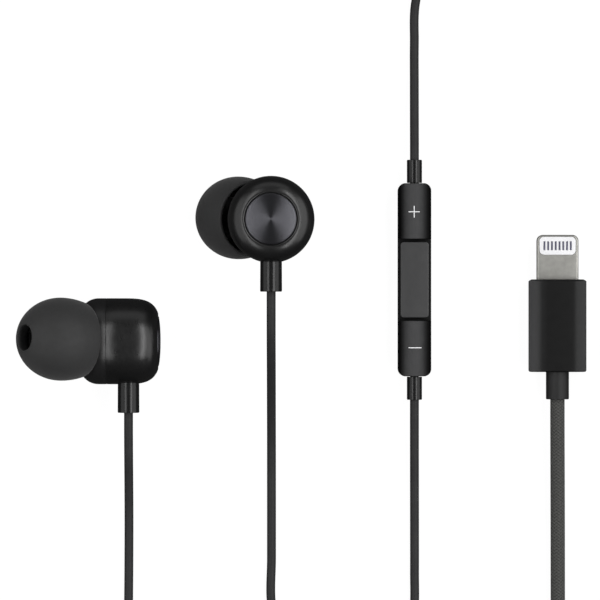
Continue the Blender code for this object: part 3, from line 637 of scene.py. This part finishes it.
def add_tube_uvs(mesh, points, sides):
    layer = mesh.uv_layers.new(name="UVMap")
    travelled = travelled_along(points)
    for polygon in mesh.polygons:
        for loop in polygon.loop_indices:
            vertex = mesh.loops[loop].vertex_index
            ring, k = divmod(vertex, sides)
            columns = [v % sides for v in polygon.vertices]
            if len(columns) == 4 and k == 0 and sides - 1 in columns:
                k = sides
            layer.data[loop].uv = (travelled[ring], k / sides)


EAR_CORD = 1.42             # the cords' diameters, in millimetres
MAIN_CORD = 2.3
TUBE_OF = {EAR_CORD: ("cord_rubber", 0.9 * MM, 16), MAIN_CORD: ("cord_braid", 1.2 * MM, 24)}
TIE_THICKNESS = 0.25
TIE_GAP = 0.1
COIL_LIFT = TIE_THICKNESS + TIE_GAP     # a tie passes under its coil
LAYER_SLACK = 0.02          # under a coil's lower layer
LAYER_GAP = 0.03            # between its two layers
LEFT_COIL = (-16.31, -63.0)
MAIN_COIL = (45.0, -92.0)

LEFT_CORD_TO_COIL = [
    (-5.945, -17.4, 6.81), (-5.945, -18.97, 6.8), (-5.95, -21.5, 6.7), (-5.96, -25.5, 5.7),
    (-5.99, -30, 3.6), (-6.02, -34.5, 1.75), (-6.05, -39.5, 0.86), (-6.08, -45, 0.74), (-6.12, -50, 0.74),
    (-6.12, -55.5, 0.85), (-6.12, -63, 1.08),
]
LEFT_CORD_FROM_COIL = [
    (-6.12, -63, 2.54), (-5.6, -66.8, 2.2), (-3.3, -70.5, 1.45), (1, -72.3, 0.85), (5.6, -73.2, 0.75),
    (9.1, -74.9, 1.1), (10.65, -77.4, 1.62), (10.85, -79.7, 1.8), (10.85, -80.9, 1.8),
]
RIGHT_CORD_TO_REMOTE = [
    (16.705, 1.7, 17.56), (16.705, 0.21, 17.55), (16.705, -2.4, 17.45), (16.7, -7, 15.8), (16.7, -12, 11.9),
    (16.69, -17, 7.4), (16.685, -22.5, 3.5), (16.68, -28.5, 1.3), (16.68, -35, 0.75), (16.68, -42, 0.74),
    (16.7, -49.5, 0.74), (18.6, -55.6, 0.78), (23.2, -59.4, 1.3), (29.5, -60.5, 2.1), (36.5, -60.5, 2.55),
    (43.5, -60.4, 2.1), (50, -60.4, 2.1), (56.5, -60.5, 2.95), (62.4, -60.1, 3.4), (67.6, -57, 2.7),
    (70.6, -51.4, 1.5), (71.2, -44.5, 0.85), (71.2, -36, 0.74), (71.2, -24, 0.74), (71.2, -12, 0.74),
    (71.2, 0, 0.74), (71.2, 12, 0.74), (71.2, 24, 0.74), (71.2, 36, 0.74), (71.1, 45.5, 0.74),
    (68.6, 54.6, 0.74), (63, 60.6, 0.74), (55.35, 62.7, 0.74), (47.7, 60.6, 0.74), (42.1, 54.8, 0.74),
    (39.7, 46.9, 0.74), (39.46, 40, 0.76), (39.45, 34, 1.05), (39.445, 28.5, 1.7), (39.445, 24.5, 2.25),
    (39.445, 21.78, 2.35), (39.445, 20.3, 2.35),
]
RIGHT_CORD_TO_SPLITTER = [
    (39.445, -15.6, 2.35), (39.445, -17.02, 2.35), (39.445, -20, 2.2), (39.46, -25, 1.5), (39.48, -31, 0.86),
    (39.49, -37.5, 0.74), (39.49, -44, 0.74), (39.4, -50.5, 0.74), (38.2, -56.6, 0.74), (34.6, -62.2, 0.74),
    (28.9, -66.4, 0.74), (22.4, -69.4, 0.74), (16.8, -72.6, 0.8), (13.8, -76.2, 1.4), (13.15, -79.7, 1.8),
    (13.15, -80.9, 1.8),
]
MAIN_CORD_TO_COIL = [
    (12, -97.2, 1.8), (12, -98.6, 1.8), (12.2, -101.2, 1.5), (14.4, -105.4, 1.2), (19.4, -108.6, 1.17),
    (26.5, -109.8, 1.2), (34.5, -110, 1.35), (45, -109.95, 1.52),
]
MAIN_CORD_FROM_COIL = [
    (62.95, -92, 3.85), (62.85, -86.5, 3.4), (62.65, -80.5, 2.2), (62.5, -74, 1.35), (62.42, -67, 1.17),
    (62.36, -60, 1.17), (62.33, -52, 1.17), (62.32, -44, 1.18), (62.3, -36, 1.4), (62.25, -28, 2),
    (62.21, -21.5, 2.45), (62.205, -16.94, 2.5), (62.205, -15.5, 2.5),
]


def coil_turns(centre, mean, pitch, diameter, turns, rise, start, hand):
    """Points of a two-layer coil, in millimetres: inward below, up at the middle, outward above.

    turns is a layer's count, rise the part of a turn that the climb takes, start an angle in degrees
    and hand 1 for anticlockwise or -1 for clockwise. The first and last points are left to the routes."""
    outer = mean + turns * pitch / 2
    inner = mean - turns * pitch / 2
    low = COIL_LIFT + diameter / 2 + LAYER_SLACK
    high = low + diameter + LAYER_GAP
    total = 2 * turns + rise
    per_turn = 20
    points = []
    count = round(total * per_turn)
    for i in range(1, count):
        done = total * i / count
        if done < turns:
            radius = outer - pitch * done
            height = low
        elif done < turns + rise:
            share = (done - turns) / rise
            radius = inner
            height = low + (high - low) * (3 * share ** 2 - 2 * share ** 3)
        else:
            radius = inner + pitch * (done - turns - rise)
            height = high
        angle = math.radians(start) + hand * 2 * math.pi * done
        points.append((centre[0] + radius * math.cos(angle), centre[1] + radius * math.sin(angle), height))
    return points


def make_cord(name, route, diameter, *nodes):
    material, spacing, sides = TUBE_OF[diameter]
    points = smooth_route(route, spacing)
    piece = tube(name, points, diameter * MM / 2, material, sides)
    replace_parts(piece, *nodes)
    return piece, points


left_turns = coil_turns(LEFT_COIL, mean=7.8, pitch=1.47, diameter=EAR_CORD, turns=3.25, rise=0.5,
                        start=0, hand=-1)
main_turns = coil_turns(MAIN_COIL, mean=13.25, pitch=2.35, diameter=MAIN_CORD, turns=4.0, rise=0.25,
                        start=-90, hand=1)
left_cord = make_cord("left_cord", LEFT_CORD_TO_COIL + left_turns + LEFT_CORD_FROM_COIL[1:], EAR_CORD,
                      "left_cord_bud_end", "left_cord_coil", "left_cord_splitter_end")
right_cord = make_cord("right_cord_upper", RIGHT_CORD_TO_REMOTE, EAR_CORD, "right_cord_bud_end")
lower_cord = make_cord("right_cord_lower", RIGHT_CORD_TO_SPLITTER, EAR_CORD, "right_cord_splitter_end")
main_cord = make_cord("main_cord", MAIN_CORD_TO_COIL + main_turns + MAIN_CORD_FROM_COIL[1:], MAIN_CORD,
                      "main_cord_splitter_end", "main_cord_coil", "main_cord_plug_end")


# Placing and cutting

def move(x, y, z):
    return Matrix.Translation(Vector((x, y, z)) * MM)


def turn(axis, degrees):
    return Matrix.Rotation(math.radians(degrees), 4, axis)


def tool(mesh_parts, matrix):
    """A closed solid to cut with or to join on, from its (verts, faces)."""
    verts, faces = mesh_parts
    return closed_solid("tool", in_metres(verts), faces, matrix)


def combine(piece, other, operation="DIFFERENCE", sharp=35):
    """Cut another solid from a piece, or join it on, apply the result and remove the other solid."""
    bpy.context.view_layer.update()
    modifier = piece.modifiers.new("combine", "BOOLEAN")
    modifier.operation = operation
    modifier.solver = "EXACT"
    modifier.object = other
    graph = bpy.context.evaluated_depsgraph_get()
    mesh = bpy.data.meshes.new_from_object(piece.evaluated_get(graph))
    piece.modifiers.clear()
    old = piece.data
    piece.data = mesh
    bpy.data.meshes.remove(old)
    shade(mesh, sharp)
    bpy.data.objects.remove(other)


def rod_tool(radius, low, high, matrix, sides=32):
    """A round bar along z."""
    return tool(lathe_mesh([(0, high), (radius, high), (radius, low), (0, low)], sides), matrix)


def block_tool(width, length, corner, bottom, top, matrix):
    """A block along z with rounded plan corners."""
    sections = []
    for z in (bottom, top):
        sections.append([(x, y, z) for x, y in rounded_rectangle(width, length, corner)])
    return tool(skin(sections), matrix)


def bar_tool(width, height, corner, back, front, matrix):
    """A bar along y with a rounded section."""
    sections = []
    for y in (back, front):
        sections.append([(x, y, z) for x, z in rounded_rectangle(width, height, corner)])
    return tool(skin(sections), matrix)


def block(name, width, length, corner, bottom, top, low_edge, high_edge, material, body, matrix):
    """A piece with rounded plan corners; low_edge and high_edge are its other edges' radii."""
    sections = block_sections(width, length, corner, bottom, top, low_edge, high_edge)
    return loft(name, sections, material, body, matrix)


def sleeve(name, profile, material, matrix, node, sides=48):
    """A cord's turned strain relief, in place of its node."""
    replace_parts(lathe(name, profile, material, "root", matrix, sides), node)


# Buds

DRUM_RADIUS = 6.81
DRUM_LENGTH = 12.9
WALL = 0.9
FRONT_FILLET = 3.1
SEAM = 8.56
SEAM_GAP = 0.01
SEAM_CHAMFER = 0.06
SEAM_EASE = 0.035
CAP_RADIUS = 4.0
CAP_CHAMFER = 0.14
CAP_DEPTH = 0.8
CAP_BULGE = 0.26
CAP_RIM = 4.17
RECESS = 1.1                # the pocket that holds the disc
RELIEF_RADIUS = 1.72
RELIEF_HEIGHT = 5.07        # of its axis over the drum's back
RELIEF_REACH = 11.34        # of its cut end from the drum's axis
RELIEF_FLANGE = 5.1
CORD_HOLE = EAR_CORD / 2 + 0.05
MAIN_CORD_HOLE = MAIN_CORD / 2 + 0.04
SPOUT_PLACE = (5.28, 0, 15.6)
SPOUT_SWING = 4
SPOUT_CANT = 35
SPOUT_RADIUS = 2.05
SPOUT_LIP = 2.3
BORE_RADIUS = 1.45
MESH_SEAT = 1.8
SMOOTH = 128


def rear_dome(steps):
    """The rear shell's outside, a superellipse from its widest circle down to the cap's rim."""
    depth = 6.4
    power = 2 / 3.75
    crowding = 1.35
    rim_width = 0.25
    points = []
    for i in range(steps):
        angle = math.pi / 2 * (i / steps) ** crowding
        radius = DRUM_RADIUS * math.cos(angle) ** power
        height = depth * (1 - math.sin(angle) ** power)
        if radius > CAP_RIM + rim_width:
            points.append((radius, height))
    return points


def relief_place(bud):
    """Down the cord's sleeve, from the drum's axis."""
    return bud @ move(0, 0, RELIEF_HEIGHT) @ turn("X", 90)


def rear_shell(side, bud):
    inner = DRUM_RADIUS - WALL
    floor = RECESS + WALL
    fillet = 1.6
    seam = SEAM - SEAM_GAP / 2
    profile = [(0, floor), (inner - fillet, floor)]
    profile += arc((inner - fillet, floor + fillet), fillet, -80, 0, 6)
    profile += [(inner, seam), (DRUM_RADIUS - SEAM_EASE, seam), (DRUM_RADIUS, seam - SEAM_CHAMFER)]
    profile += rear_dome(64)
    rim = profile[-1][1]
    profile += [(CAP_RIM + 0.12, rim * 0.97), (CAP_RIM + 0.03, rim + 0.03), (CAP_RIM, rim + 0.14),
                (CAP_RIM, RECESS), (0, RECESS)]
    piece = lathe(side + "_rear_shell", profile, "gloss_shell", "root", bud, SMOOTH)
    combine(piece, rod_tool(RELIEF_RADIUS + 0.06, 4, 9, relief_place(bud), 48))
    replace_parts(piece, side + "_rear_housing")


def rear_disc(side, bud):
    """The turned disc, a little crowned, with a small chamfer."""
    face = CAP_RADIUS - CAP_CHAMFER
    flatness = 2.6
    steps = 20
    profile = [(0, CAP_DEPTH), (CAP_RADIUS, CAP_DEPTH), (CAP_RADIUS, CAP_BULGE + 0.16),
               (CAP_RADIUS - 0.04, CAP_BULGE + 0.08)]
    profile += [(face * i / steps, CAP_BULGE * (i / steps) ** flatness) for i in range(steps, 0, -1)]
    profile += [(0, 0)]
    piece = lathe(side + "_rear_disc", profile, "spun_cap", "root", bud, SMOOTH, sharp=25)
    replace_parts(piece, side + "_rear_cap")


def front_shell(side, bud, nozzle):
    inner = DRUM_RADIUS - WALL
    seam = SEAM + SEAM_GAP / 2
    corner = (DRUM_RADIUS - FRONT_FILLET, DRUM_LENGTH - FRONT_FILLET)
    profile = [(0, DRUM_LENGTH)]
    profile += arc(corner, FRONT_FILLET, 90, 0, 24)
    profile += [(DRUM_RADIUS, seam + SEAM_CHAMFER), (DRUM_RADIUS - SEAM_EASE, seam), (inner, seam)]
    profile += arc(corner, FRONT_FILLET - WALL, 0, 90, 8)
    profile += [(0, DRUM_LENGTH - WALL)]
    piece = lathe(side + "_front_shell", profile, "matte_shell", "root", bud, SMOOTH)
    spout = [(0, 4.6), (SPOUT_RADIUS - 0.15, 4.6), (SPOUT_RADIUS - 0.05, 4.56), (SPOUT_RADIUS, 4.45),
             (SPOUT_RADIUS, 3.9), (SPOUT_LIP - 0.02, 3.25), (SPOUT_LIP, 3.15), (SPOUT_LIP, 2.75),
             (SPOUT_LIP - 0.03, 2.68), (SPOUT_RADIUS, 2.4), (SPOUT_RADIUS, -4.8), (0, -4.8)]
    combine(piece, tool(lathe_mesh(spout, SMOOTH // 2), nozzle), "UNION")
    bore = [(0, 5.6), (MESH_SEAT, 5.6), (MESH_SEAT, 3.8), (BORE_RADIUS, 3.8), (BORE_RADIUS, -6.3), (0, -6.3)]
    combine(piece, tool(lathe_mesh(bore, SMOOTH // 2), nozzle))
    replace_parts(piece, side + "_front_housing")


def ear_tip(side, nozzle):
    """Soft dome with a rolled mouth, a thin skirt and a sleeve inside that grips the spout."""
    radius = 6.55
    dome = 7.25
    wall = 0.5
    taper = 0.58
    length = 3.66
    mouth = 2.1
    shares = [0.1 * i for i in range(1, 10)] + [0.97]
    skirt = [(radius - taper * share ** 2, -length * share) for share in shares]
    profile = [(1.9, 5.6), (1.91, 6.15), (1.96, 6.5), (2.06, 6.7), (2.18, 6.79)]
    profile += ellipse_arc((0, 0), radius, dome, 69.5, 0, 38)
    profile += skirt
    profile += [(5.95, -length), (5.78, -3.72), (5.6, -3.68), (5.5, -3.55)]
    profile += [(r - wall, z) for r, z in reversed(skirt[:-1])]
    profile += ellipse_arc((0, 0), radius - wall, dome - 0.9, 0, 50, 14)
    profile += [(3.5, 4.62), (3.34, 4.4), (3.3, 4.1), (3.3, -2.0), (3.22, -2.12), (3.1, -2.15), (2.45, -2.15),
                (2.45, 4.95), (2.0, 5.15)]
    piece = lathe(side + "_soft_tip", profile, "silicone", side + "_tip", nozzle, SMOOTH, True, 50)
    # The mouth's inner wall gets the darker material: partly a darker core, partly painted shade inside the
    # mouth.
    piece.data.materials.append(MATERIALS["silicone_core_painted_shade"])
    for polygon in piece.data.polygons:
        if polygon.center.xy.length < mouth * MM:
            polygon.material_index = 1
    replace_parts(piece, side + "_ear_tip")


def bud_relief(side, bud):
    """The cord's sleeve, held by a flange inside the drum, with a snug hole in its cut end."""
    profile = [(0, RELIEF_REACH - 2.2), (CORD_HOLE, RELIEF_REACH - 2.2), (CORD_HOLE, RELIEF_REACH - 0.08),
               (CORD_HOLE + 0.08, RELIEF_REACH), (RELIEF_RADIUS - 0.14, RELIEF_REACH),
               (RELIEF_RADIUS - 0.04, RELIEF_REACH - 0.05), (RELIEF_RADIUS, RELIEF_REACH - 0.16),
               (RELIEF_RADIUS - 0.03, RELIEF_FLANGE), (2.2, RELIEF_FLANGE), (2.2, 4.7), (0, 4.7)]
    sleeve(side + "_sleeve", profile, "relief_rubber", relief_place(bud), side + "_strain_relief", 64)


def earpiece(side, location, degrees):
    bud = move(*location) @ turn("Y", degrees)
    nozzle = bud @ turn("Z", SPOUT_SWING) @ move(*SPOUT_PLACE) @ turn("Y", SPOUT_CANT)
    rear_shell(side, bud)
    rear_disc(side, bud)
    front_shell(side, bud, nozzle)
    ear_tip(side, nozzle)
    bud_relief(side, bud)


earpiece("left", (-0.875, -7.37, DRUM_RADIUS), -90)
earpiece("right", (16.694, 11.808, 22.63), 180)


# Remote

REMOTE = move(39.445, 2.38, 0)
REMOTE_WIDTH = 5.3
REMOTE_LENGTH = 30.7
REMOTE_CORNER = 1.2
REMOTE_AXIS = 2.35
CASE_TOP = 2.42
PLATE_HEIGHTS = (2.5, 3.1)
MICROPHONE_HOLE = 0.35
MICROPHONE_Y = 5.4
CAP_BASE = 3.4
CAP_CROWN = 4.7
RECESS_HALF = 6.5
BUTTON_Y = 10.8
PEG_RADIUS = 0.7
PEG_FOOT = 2.4
NECK_RADIUS = 0.68
NECK_HOLE = 0.74


def remote_end(end):
    """Out of the remote along its cord, at its upper (1) or lower (-1) end."""
    return REMOTE @ move(0, end * REMOTE_LENGTH / 2, REMOTE_AXIS) @ turn("X", -90 * end)


def add_peg(button, y, sharp=35):
    """The foot under a button that presses its switch."""
    combine(button, rod_tool(PEG_RADIUS, PEG_FOOT, CAP_BASE + 0.3, REMOTE @ move(0, y, 0)), "UNION", sharp)


def cut_ends(piece):
    """Holes in the remote's ends for the necks of the cord sleeves."""
    for end in (1, -1):
        combine(piece, rod_tool(NECK_HOLE, -1.4, 1, remote_end(end)))


def remote_case():
    """The hollow back with its microphone hole, and the plate that the buttons stand over."""
    shell = block("remote_back", REMOTE_WIDTH, REMOTE_LENGTH, REMOTE_CORNER, 0, CASE_TOP, 0.35, 0.06,
                  "back_black", "root", REMOTE)
    combine(shell, block_tool(4.1, 28.9, 0.7, 0.6, 4, REMOTE))
    cut_ends(shell)
    combine(shell, rod_tool(MICROPHONE_HOLE, -1, 1, REMOTE @ move(0, MICROPHONE_Y, 0)))
    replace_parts(shell, "remote_rear_shell")
    plate = block("remote_plate", REMOTE_WIDTH, REMOTE_LENGTH, REMOTE_CORNER, *PLATE_HEIGHTS, 0.06, 0.06,
                  "plate_black", "root", REMOTE)
    cut_ends(plate)
    for y in (BUTTON_Y, 0, -BUTTON_Y):
        combine(plate, rod_tool(PEG_RADIUS + 0.2, 0, 5, REMOTE @ move(0, y, 0)))
    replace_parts(plate, "remote_chassis")


def crown_height(share):
    """Height of a volume button's crown at a share of its half width."""
    edge = CAP_BASE + 0.1
    return edge + (CAP_CROWN - edge) * math.sqrt(max(0.0, 1 - share ** 2))


def edge_drop(radius, inside):
    """How far a rounded edge lies below its flat, at a distance inside the outline."""
    return radius - math.sqrt(radius ** 2 - max(0.0, radius - inside) ** 2)


def volume_cap(name, end, body, node):
    """A crowned cap, with the remote's plan corners at its outer end and its long edges eased."""
    half = REMOTE_WIDTH / 2
    outer = REMOTE_LENGTH / 2
    corner = REMOTE_CORNER
    turn_in = outer - corner
    inner_edge = 0.12
    outer_edge = 0.16
    straight = 12
    across = 40
    start = RECESS_HALF + inner_edge
    stations = [RECESS_HALF, RECESS_HALF + 0.05, start]
    stations += [start + (turn_in - start) * i / straight for i in range(1, straight + 1)]
    stations += [turn_in + corner * math.sin(math.radians(angle)) for angle in range(6, 90, 6)]
    sections = []
    for station in stations:
        run = max(0.0, station - turn_in)
        width = half - corner + math.sqrt(max(0.0, corner ** 2 - run ** 2))
        ease = edge_drop(inner_edge, station - RECESS_HALF) + edge_drop(outer_edge, outer - station)
        section = []
        for i in range(across + 1):
            x = width * math.cos(math.pi * i / across)
            z = crown_height(abs(x) / half) - ease
            section.append((x, max(z, CAP_BASE + 0.06)))
        section += [(-width + 0.05, CAP_BASE), (width - 0.05, CAP_BASE)]
        sections.append([(x, end * station, z) for x, z in section])
    # The caps' material carries painted shade toward their long edges.
    piece = loft(name, sections, "remote_gloss", body, REMOTE, 40)
    add_peg(piece, end * BUTTON_Y, 40)
    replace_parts(piece, node)


def centre_pad():
    piece = block("centre_pad", 4.5, 12.0, 0.5, CAP_BASE, 4.25, 0.05, 0.14,
                  "button_satin", "centre_key", REMOTE)
    add_peg(piece, 0)
    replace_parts(piece, "centre_button")


def bar_mark(name, centre_x, half_x, half_y, centre_y, body):
    """A printed stroke that follows the crown of a volume button."""
    steps = 12
    raised = 0.012
    sunk = 0.03
    top = []
    for i in range(steps + 1):
        x = centre_x + half_x * (2 * i / steps - 1)
        top.append((x, crown_height(abs(x) / (REMOTE_WIDTH / 2))))
    sections = []
    for y in (centre_y - half_y, centre_y + half_y):
        sections.append([(x, y, z + raised) for x, z in top] + [(x, y, z - sunk) for x, z in reversed(top)])
    loft(name, sections, "mark_white", body, REMOTE, 30)


def remote():
    remote_case()
    volume_cap("volume_up_cap", 1, "volume_up_key", "volume_up_button")
    volume_cap("volume_down_cap", -1, "volume_down_key", "volume_down_button")
    centre_pad()
    bar_mark("plus_across", -0.08, 0.88, 0.07, BUTTON_Y, "volume_up_key")
    bar_mark("plus_along", -0.08, 0.07, 0.92, BUTTON_Y, "volume_up_key")
    bar_mark("minus_across", 0.04, 1.02, 0.07, -BUTTON_Y, "volume_down_key")
    for name, end in (("upper", 1), ("lower", -1)):
        profile = [(0, 1.5), (CORD_HOLE, 1.5), (CORD_HOLE, 3.68), (CORD_HOLE + 0.07, 3.75), (1.08, 3.75),
                   (1.17, 3.71), (1.2, 3.6), (1.2, 0.12), (1.17, 0.09), (NECK_RADIUS, 0.09),
                   (NECK_RADIUS, -1.1), (0, -1.1)]
        sleeve("remote_" + name + "_sleeve", profile, "relief_rubber", remote_end(end),
               "remote_" + name + "_strain_relief")


remote()


# Plug

PLUG = move(62.205, 2.444, 2.5)
TAB_WIDTH = 6.65
TAB_THICKNESS = 1.5
TAB_BACK = -3.0
TAB_FRONT = 7.08
WINDOW_WIDTH = 5.8
WINDOW_LENGTH = 2.88
WINDOW_CENTRE = 5.35
CONTACTS = 8
CONTACT_PITCH = 0.6
BOOT_WIDTH = 9.2
BOOT_HEIGHT = 5.0
BOOT_LENGTH = 14.72


def plug_tongue():
    """The flat tongue with rounded sides, and its window with a small bevel round it."""
    matrix = PLUG @ move(0, (TAB_FRONT + TAB_BACK) / 2, 0)
    piece = block("plug_tongue", TAB_WIDTH, TAB_FRONT - TAB_BACK, 0.95, -TAB_THICKNESS / 2, TAB_THICKNESS / 2,
                  0.3, 0.3, "tab_steel", "root", matrix)
    window = []
    for z, grow in ((-1.0, 0.3), (-0.75, 0.06), (-0.66, 0.0), (0.66, 0.0), (0.75, 0.06), (1.0, 0.3)):
        outline = rounded_rectangle(WINDOW_WIDTH + 2 * grow, WINDOW_LENGTH + 2 * grow, 0.7 + grow)
        window.append([(x, y, z) for x, y in outline])
    combine(piece, tool(skin(window), PLUG @ move(0, WINDOW_CENTRE, 0)))
    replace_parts(piece, "plug_tab")


def plug_face():
    """The white block in the window, and the contacts set into it."""
    matrix = PLUG @ move(0, WINDOW_CENTRE, 0)
    insulator = block("plug_block", WINDOW_WIDTH - 0.04, WINDOW_LENGTH - 0.04, 0.68, -0.7, 0.7, 0.04, 0.04,
                      "insulator_white", "root", matrix)
    for index in range(CONTACTS):
        place = matrix @ move((index - (CONTACTS - 1) / 2) * CONTACT_PITCH, 0, 0)
        combine(insulator, block_tool(0.32, 1.44, 0.06, -2, 2, place))
        contact = block("plug_contact_" + str(index + 1), 0.28, 1.4, 0.05, -0.71, 0.71, 0.04, 0.04,
                        "contact_metal", "root", place)
        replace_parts(contact, "contact_" + str(index + 1))
    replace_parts(insulator, "plug_insulator")


def plug_grip():
    """The boot: a rounded bar with eased ends, hollow for the tongue and the board behind it."""
    edge = 0.3
    stations = [(0.5, 0.0), (0.4, -0.04), (0.1, -0.2), (0.03, -0.27), (0.0, -0.36)]
    stations += [(inset, -BOOT_LENGTH + depth) for inset, depth in reversed(edge_steps(edge))]
    sections = []
    for inset, y in stations:
        outline = rounded_rectangle(BOOT_WIDTH - 2 * inset, BOOT_HEIGHT - 2 * inset, 2.1 - inset, 12)
        sections.append([(x, y, z) for x, z in outline])
    # The boot's material carries a painted highlight along its sides.
    piece = loft("plug_grip", sections, "boot_plastic", "root", PLUG)
    combine(piece, bar_tool(6.85, 1.7, 0.5, -3.5, 1, PLUG))
    combine(piece, bar_tool(7.0, 3.2, 0.6, -12.6, -3.0, PLUG))
    combine(piece, rod_tool(1.4, -16, -12, PLUG @ turn("X", -90)))
    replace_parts(piece, "plug_boot")


def plug():
    plug_tongue()
    plug_face()
    plug_grip()
    hole = MAIN_CORD_HOLE
    profile = [(0, 1.9), (hole, 1.9), (hole, 4.28), (hole + 0.08, 4.36), (1.7, 4.36), (1.8, 4.32),
               (1.83, 4.2), (1.83, 0.03), (1.35, 0.0), (1.35, -1.5), (0, -1.5)]
    sleeve("plug_sleeve", profile, "neck_satin", PLUG @ move(0, -BOOT_LENGTH, 0) @ turn("X", 90),
           "plug_strain_relief")


plug()


# Splitter and coil ties

SPLITTER = move(12.0, -80.0, 1.8)
SPLITTER_LENGTH = 14.0


def splitter():
    """Two shells held shut round the cords' grommet and the main cord's sleeve."""
    middle = SPLITTER @ move(0, -SPLITTER_LENGTH / 2, 0)
    halves = (("lower", -1.8, -0.03, 0.5, 0.05), ("upper", 0.03, 1.8, 0.05, 0.5))
    for side, bottom, top, low_edge, high_edge in halves:
        piece = block("splitter_" + side, 5.2, SPLITTER_LENGTH, 1.6, bottom, top, low_edge, high_edge,
                      "splitter_black", "root", middle)
        combine(piece, block_tool(4.0, 11.8, 1.1, -1.2, 1.2, middle))
        combine(piece, bar_tool(3.5, 1.3, 0.55, -3, 2, SPLITTER))
        outlet = SPLITTER @ turn("X", 90)
        combine(piece, rod_tool(1.1, SPLITTER_LENGTH - 3, SPLITTER_LENGTH + 1, outlet))
        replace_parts(piece, "splitter_" + side + "_shell")
    piece = block("splitter_inlet", 3.4, 1.2, 0.5, 0, 2.4, 0.05, 0.08, "relief_rubber", "root",
                  SPLITTER @ turn("Z", 180) @ turn("X", -90))
    for x in (-1.15, 1.15):
        combine(piece, rod_tool(0.55, -1.5, 1.5, SPLITTER @ move(x, 0, 0) @ turn("X", 90)))
    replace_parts(piece, "splitter_grommet")
    hole = MAIN_CORD_HOLE
    profile = [(0, 2.0), (hole, 2.0), (hole, 4.24), (hole + 0.06, 4.3), (1.52, 4.3), (1.62, 4.26),
               (1.65, 4.15), (1.65, 0.03), (1.05, 0.0), (1.05, -1.4), (0, -1.4)]
    sleeve("splitter_sleeve", profile, "relief_rubber",
           SPLITTER @ move(0, -SPLITTER_LENGTH, 0) @ turn("X", 90), "splitter_strain_relief")


def coil_tie(name, centre, mean, half, diameter, node):
    """A soft strap round one side of a coil, its edges eased, closed as a ring.

    mean is the turns' middle radius there and half their half width."""
    width = 2.6
    soft = 0.08
    slack = 0.1
    inner_corner = 0.55
    inner_width = 2 * (half + slack)
    inner_height = 2 * (diameter + slack)
    steps = []
    for inset, out in ((soft, 0.0), (0.0, soft), (0.0, TIE_THICKNESS - soft), (soft, TIE_THICKNESS)):
        steps.append((width / 2 - inset, out))
    steps += [(-y, out) for y, out in reversed(steps)]
    loops = []
    for y, out in steps:
        outline = rounded_rectangle(inner_width + 2 * out, inner_height + 2 * out, inner_corner + out, 6)
        loops.append([(x, y, z) for x, z in outline])
    verts, faces = skin(loops, ring=True)
    matrix = move(centre[0] - mean, centre[1], TIE_THICKNESS + inner_height / 2)
    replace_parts(make_piece(name, in_metres(verts), faces, "tie_fabric", "root", matrix, 60), node)


splitter()
coil_tie("left_strap", LEFT_COIL, 7.43, 2.73, EAR_CORD, "left_coil_tie")
coil_tie("main_strap", MAIN_COIL, 12.96, 4.97, MAIN_CORD, "main_coil_tie")


# Finishes of the pieces that stay as they were packed

def finish_hidden_pieces():
    slots = {
        "nozzle_mesh": "nozzle_steel", "driver_basket": "driver_plastic", "driver_magnet": "magnet_steel",
        "diaphragm": "diaphragm_film", "voice_coil": "copper", "circuit_board": "circuit_board",
        "switch": "switch_metal", "microphone": "switch_metal",
    }
    for name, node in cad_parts.items():
        for ending, slot in slots.items():
            if name.endswith(ending):
                node.data.materials.clear()
                node.data.materials.append(MATERIALS[slot])


finish_hidden_pieces()
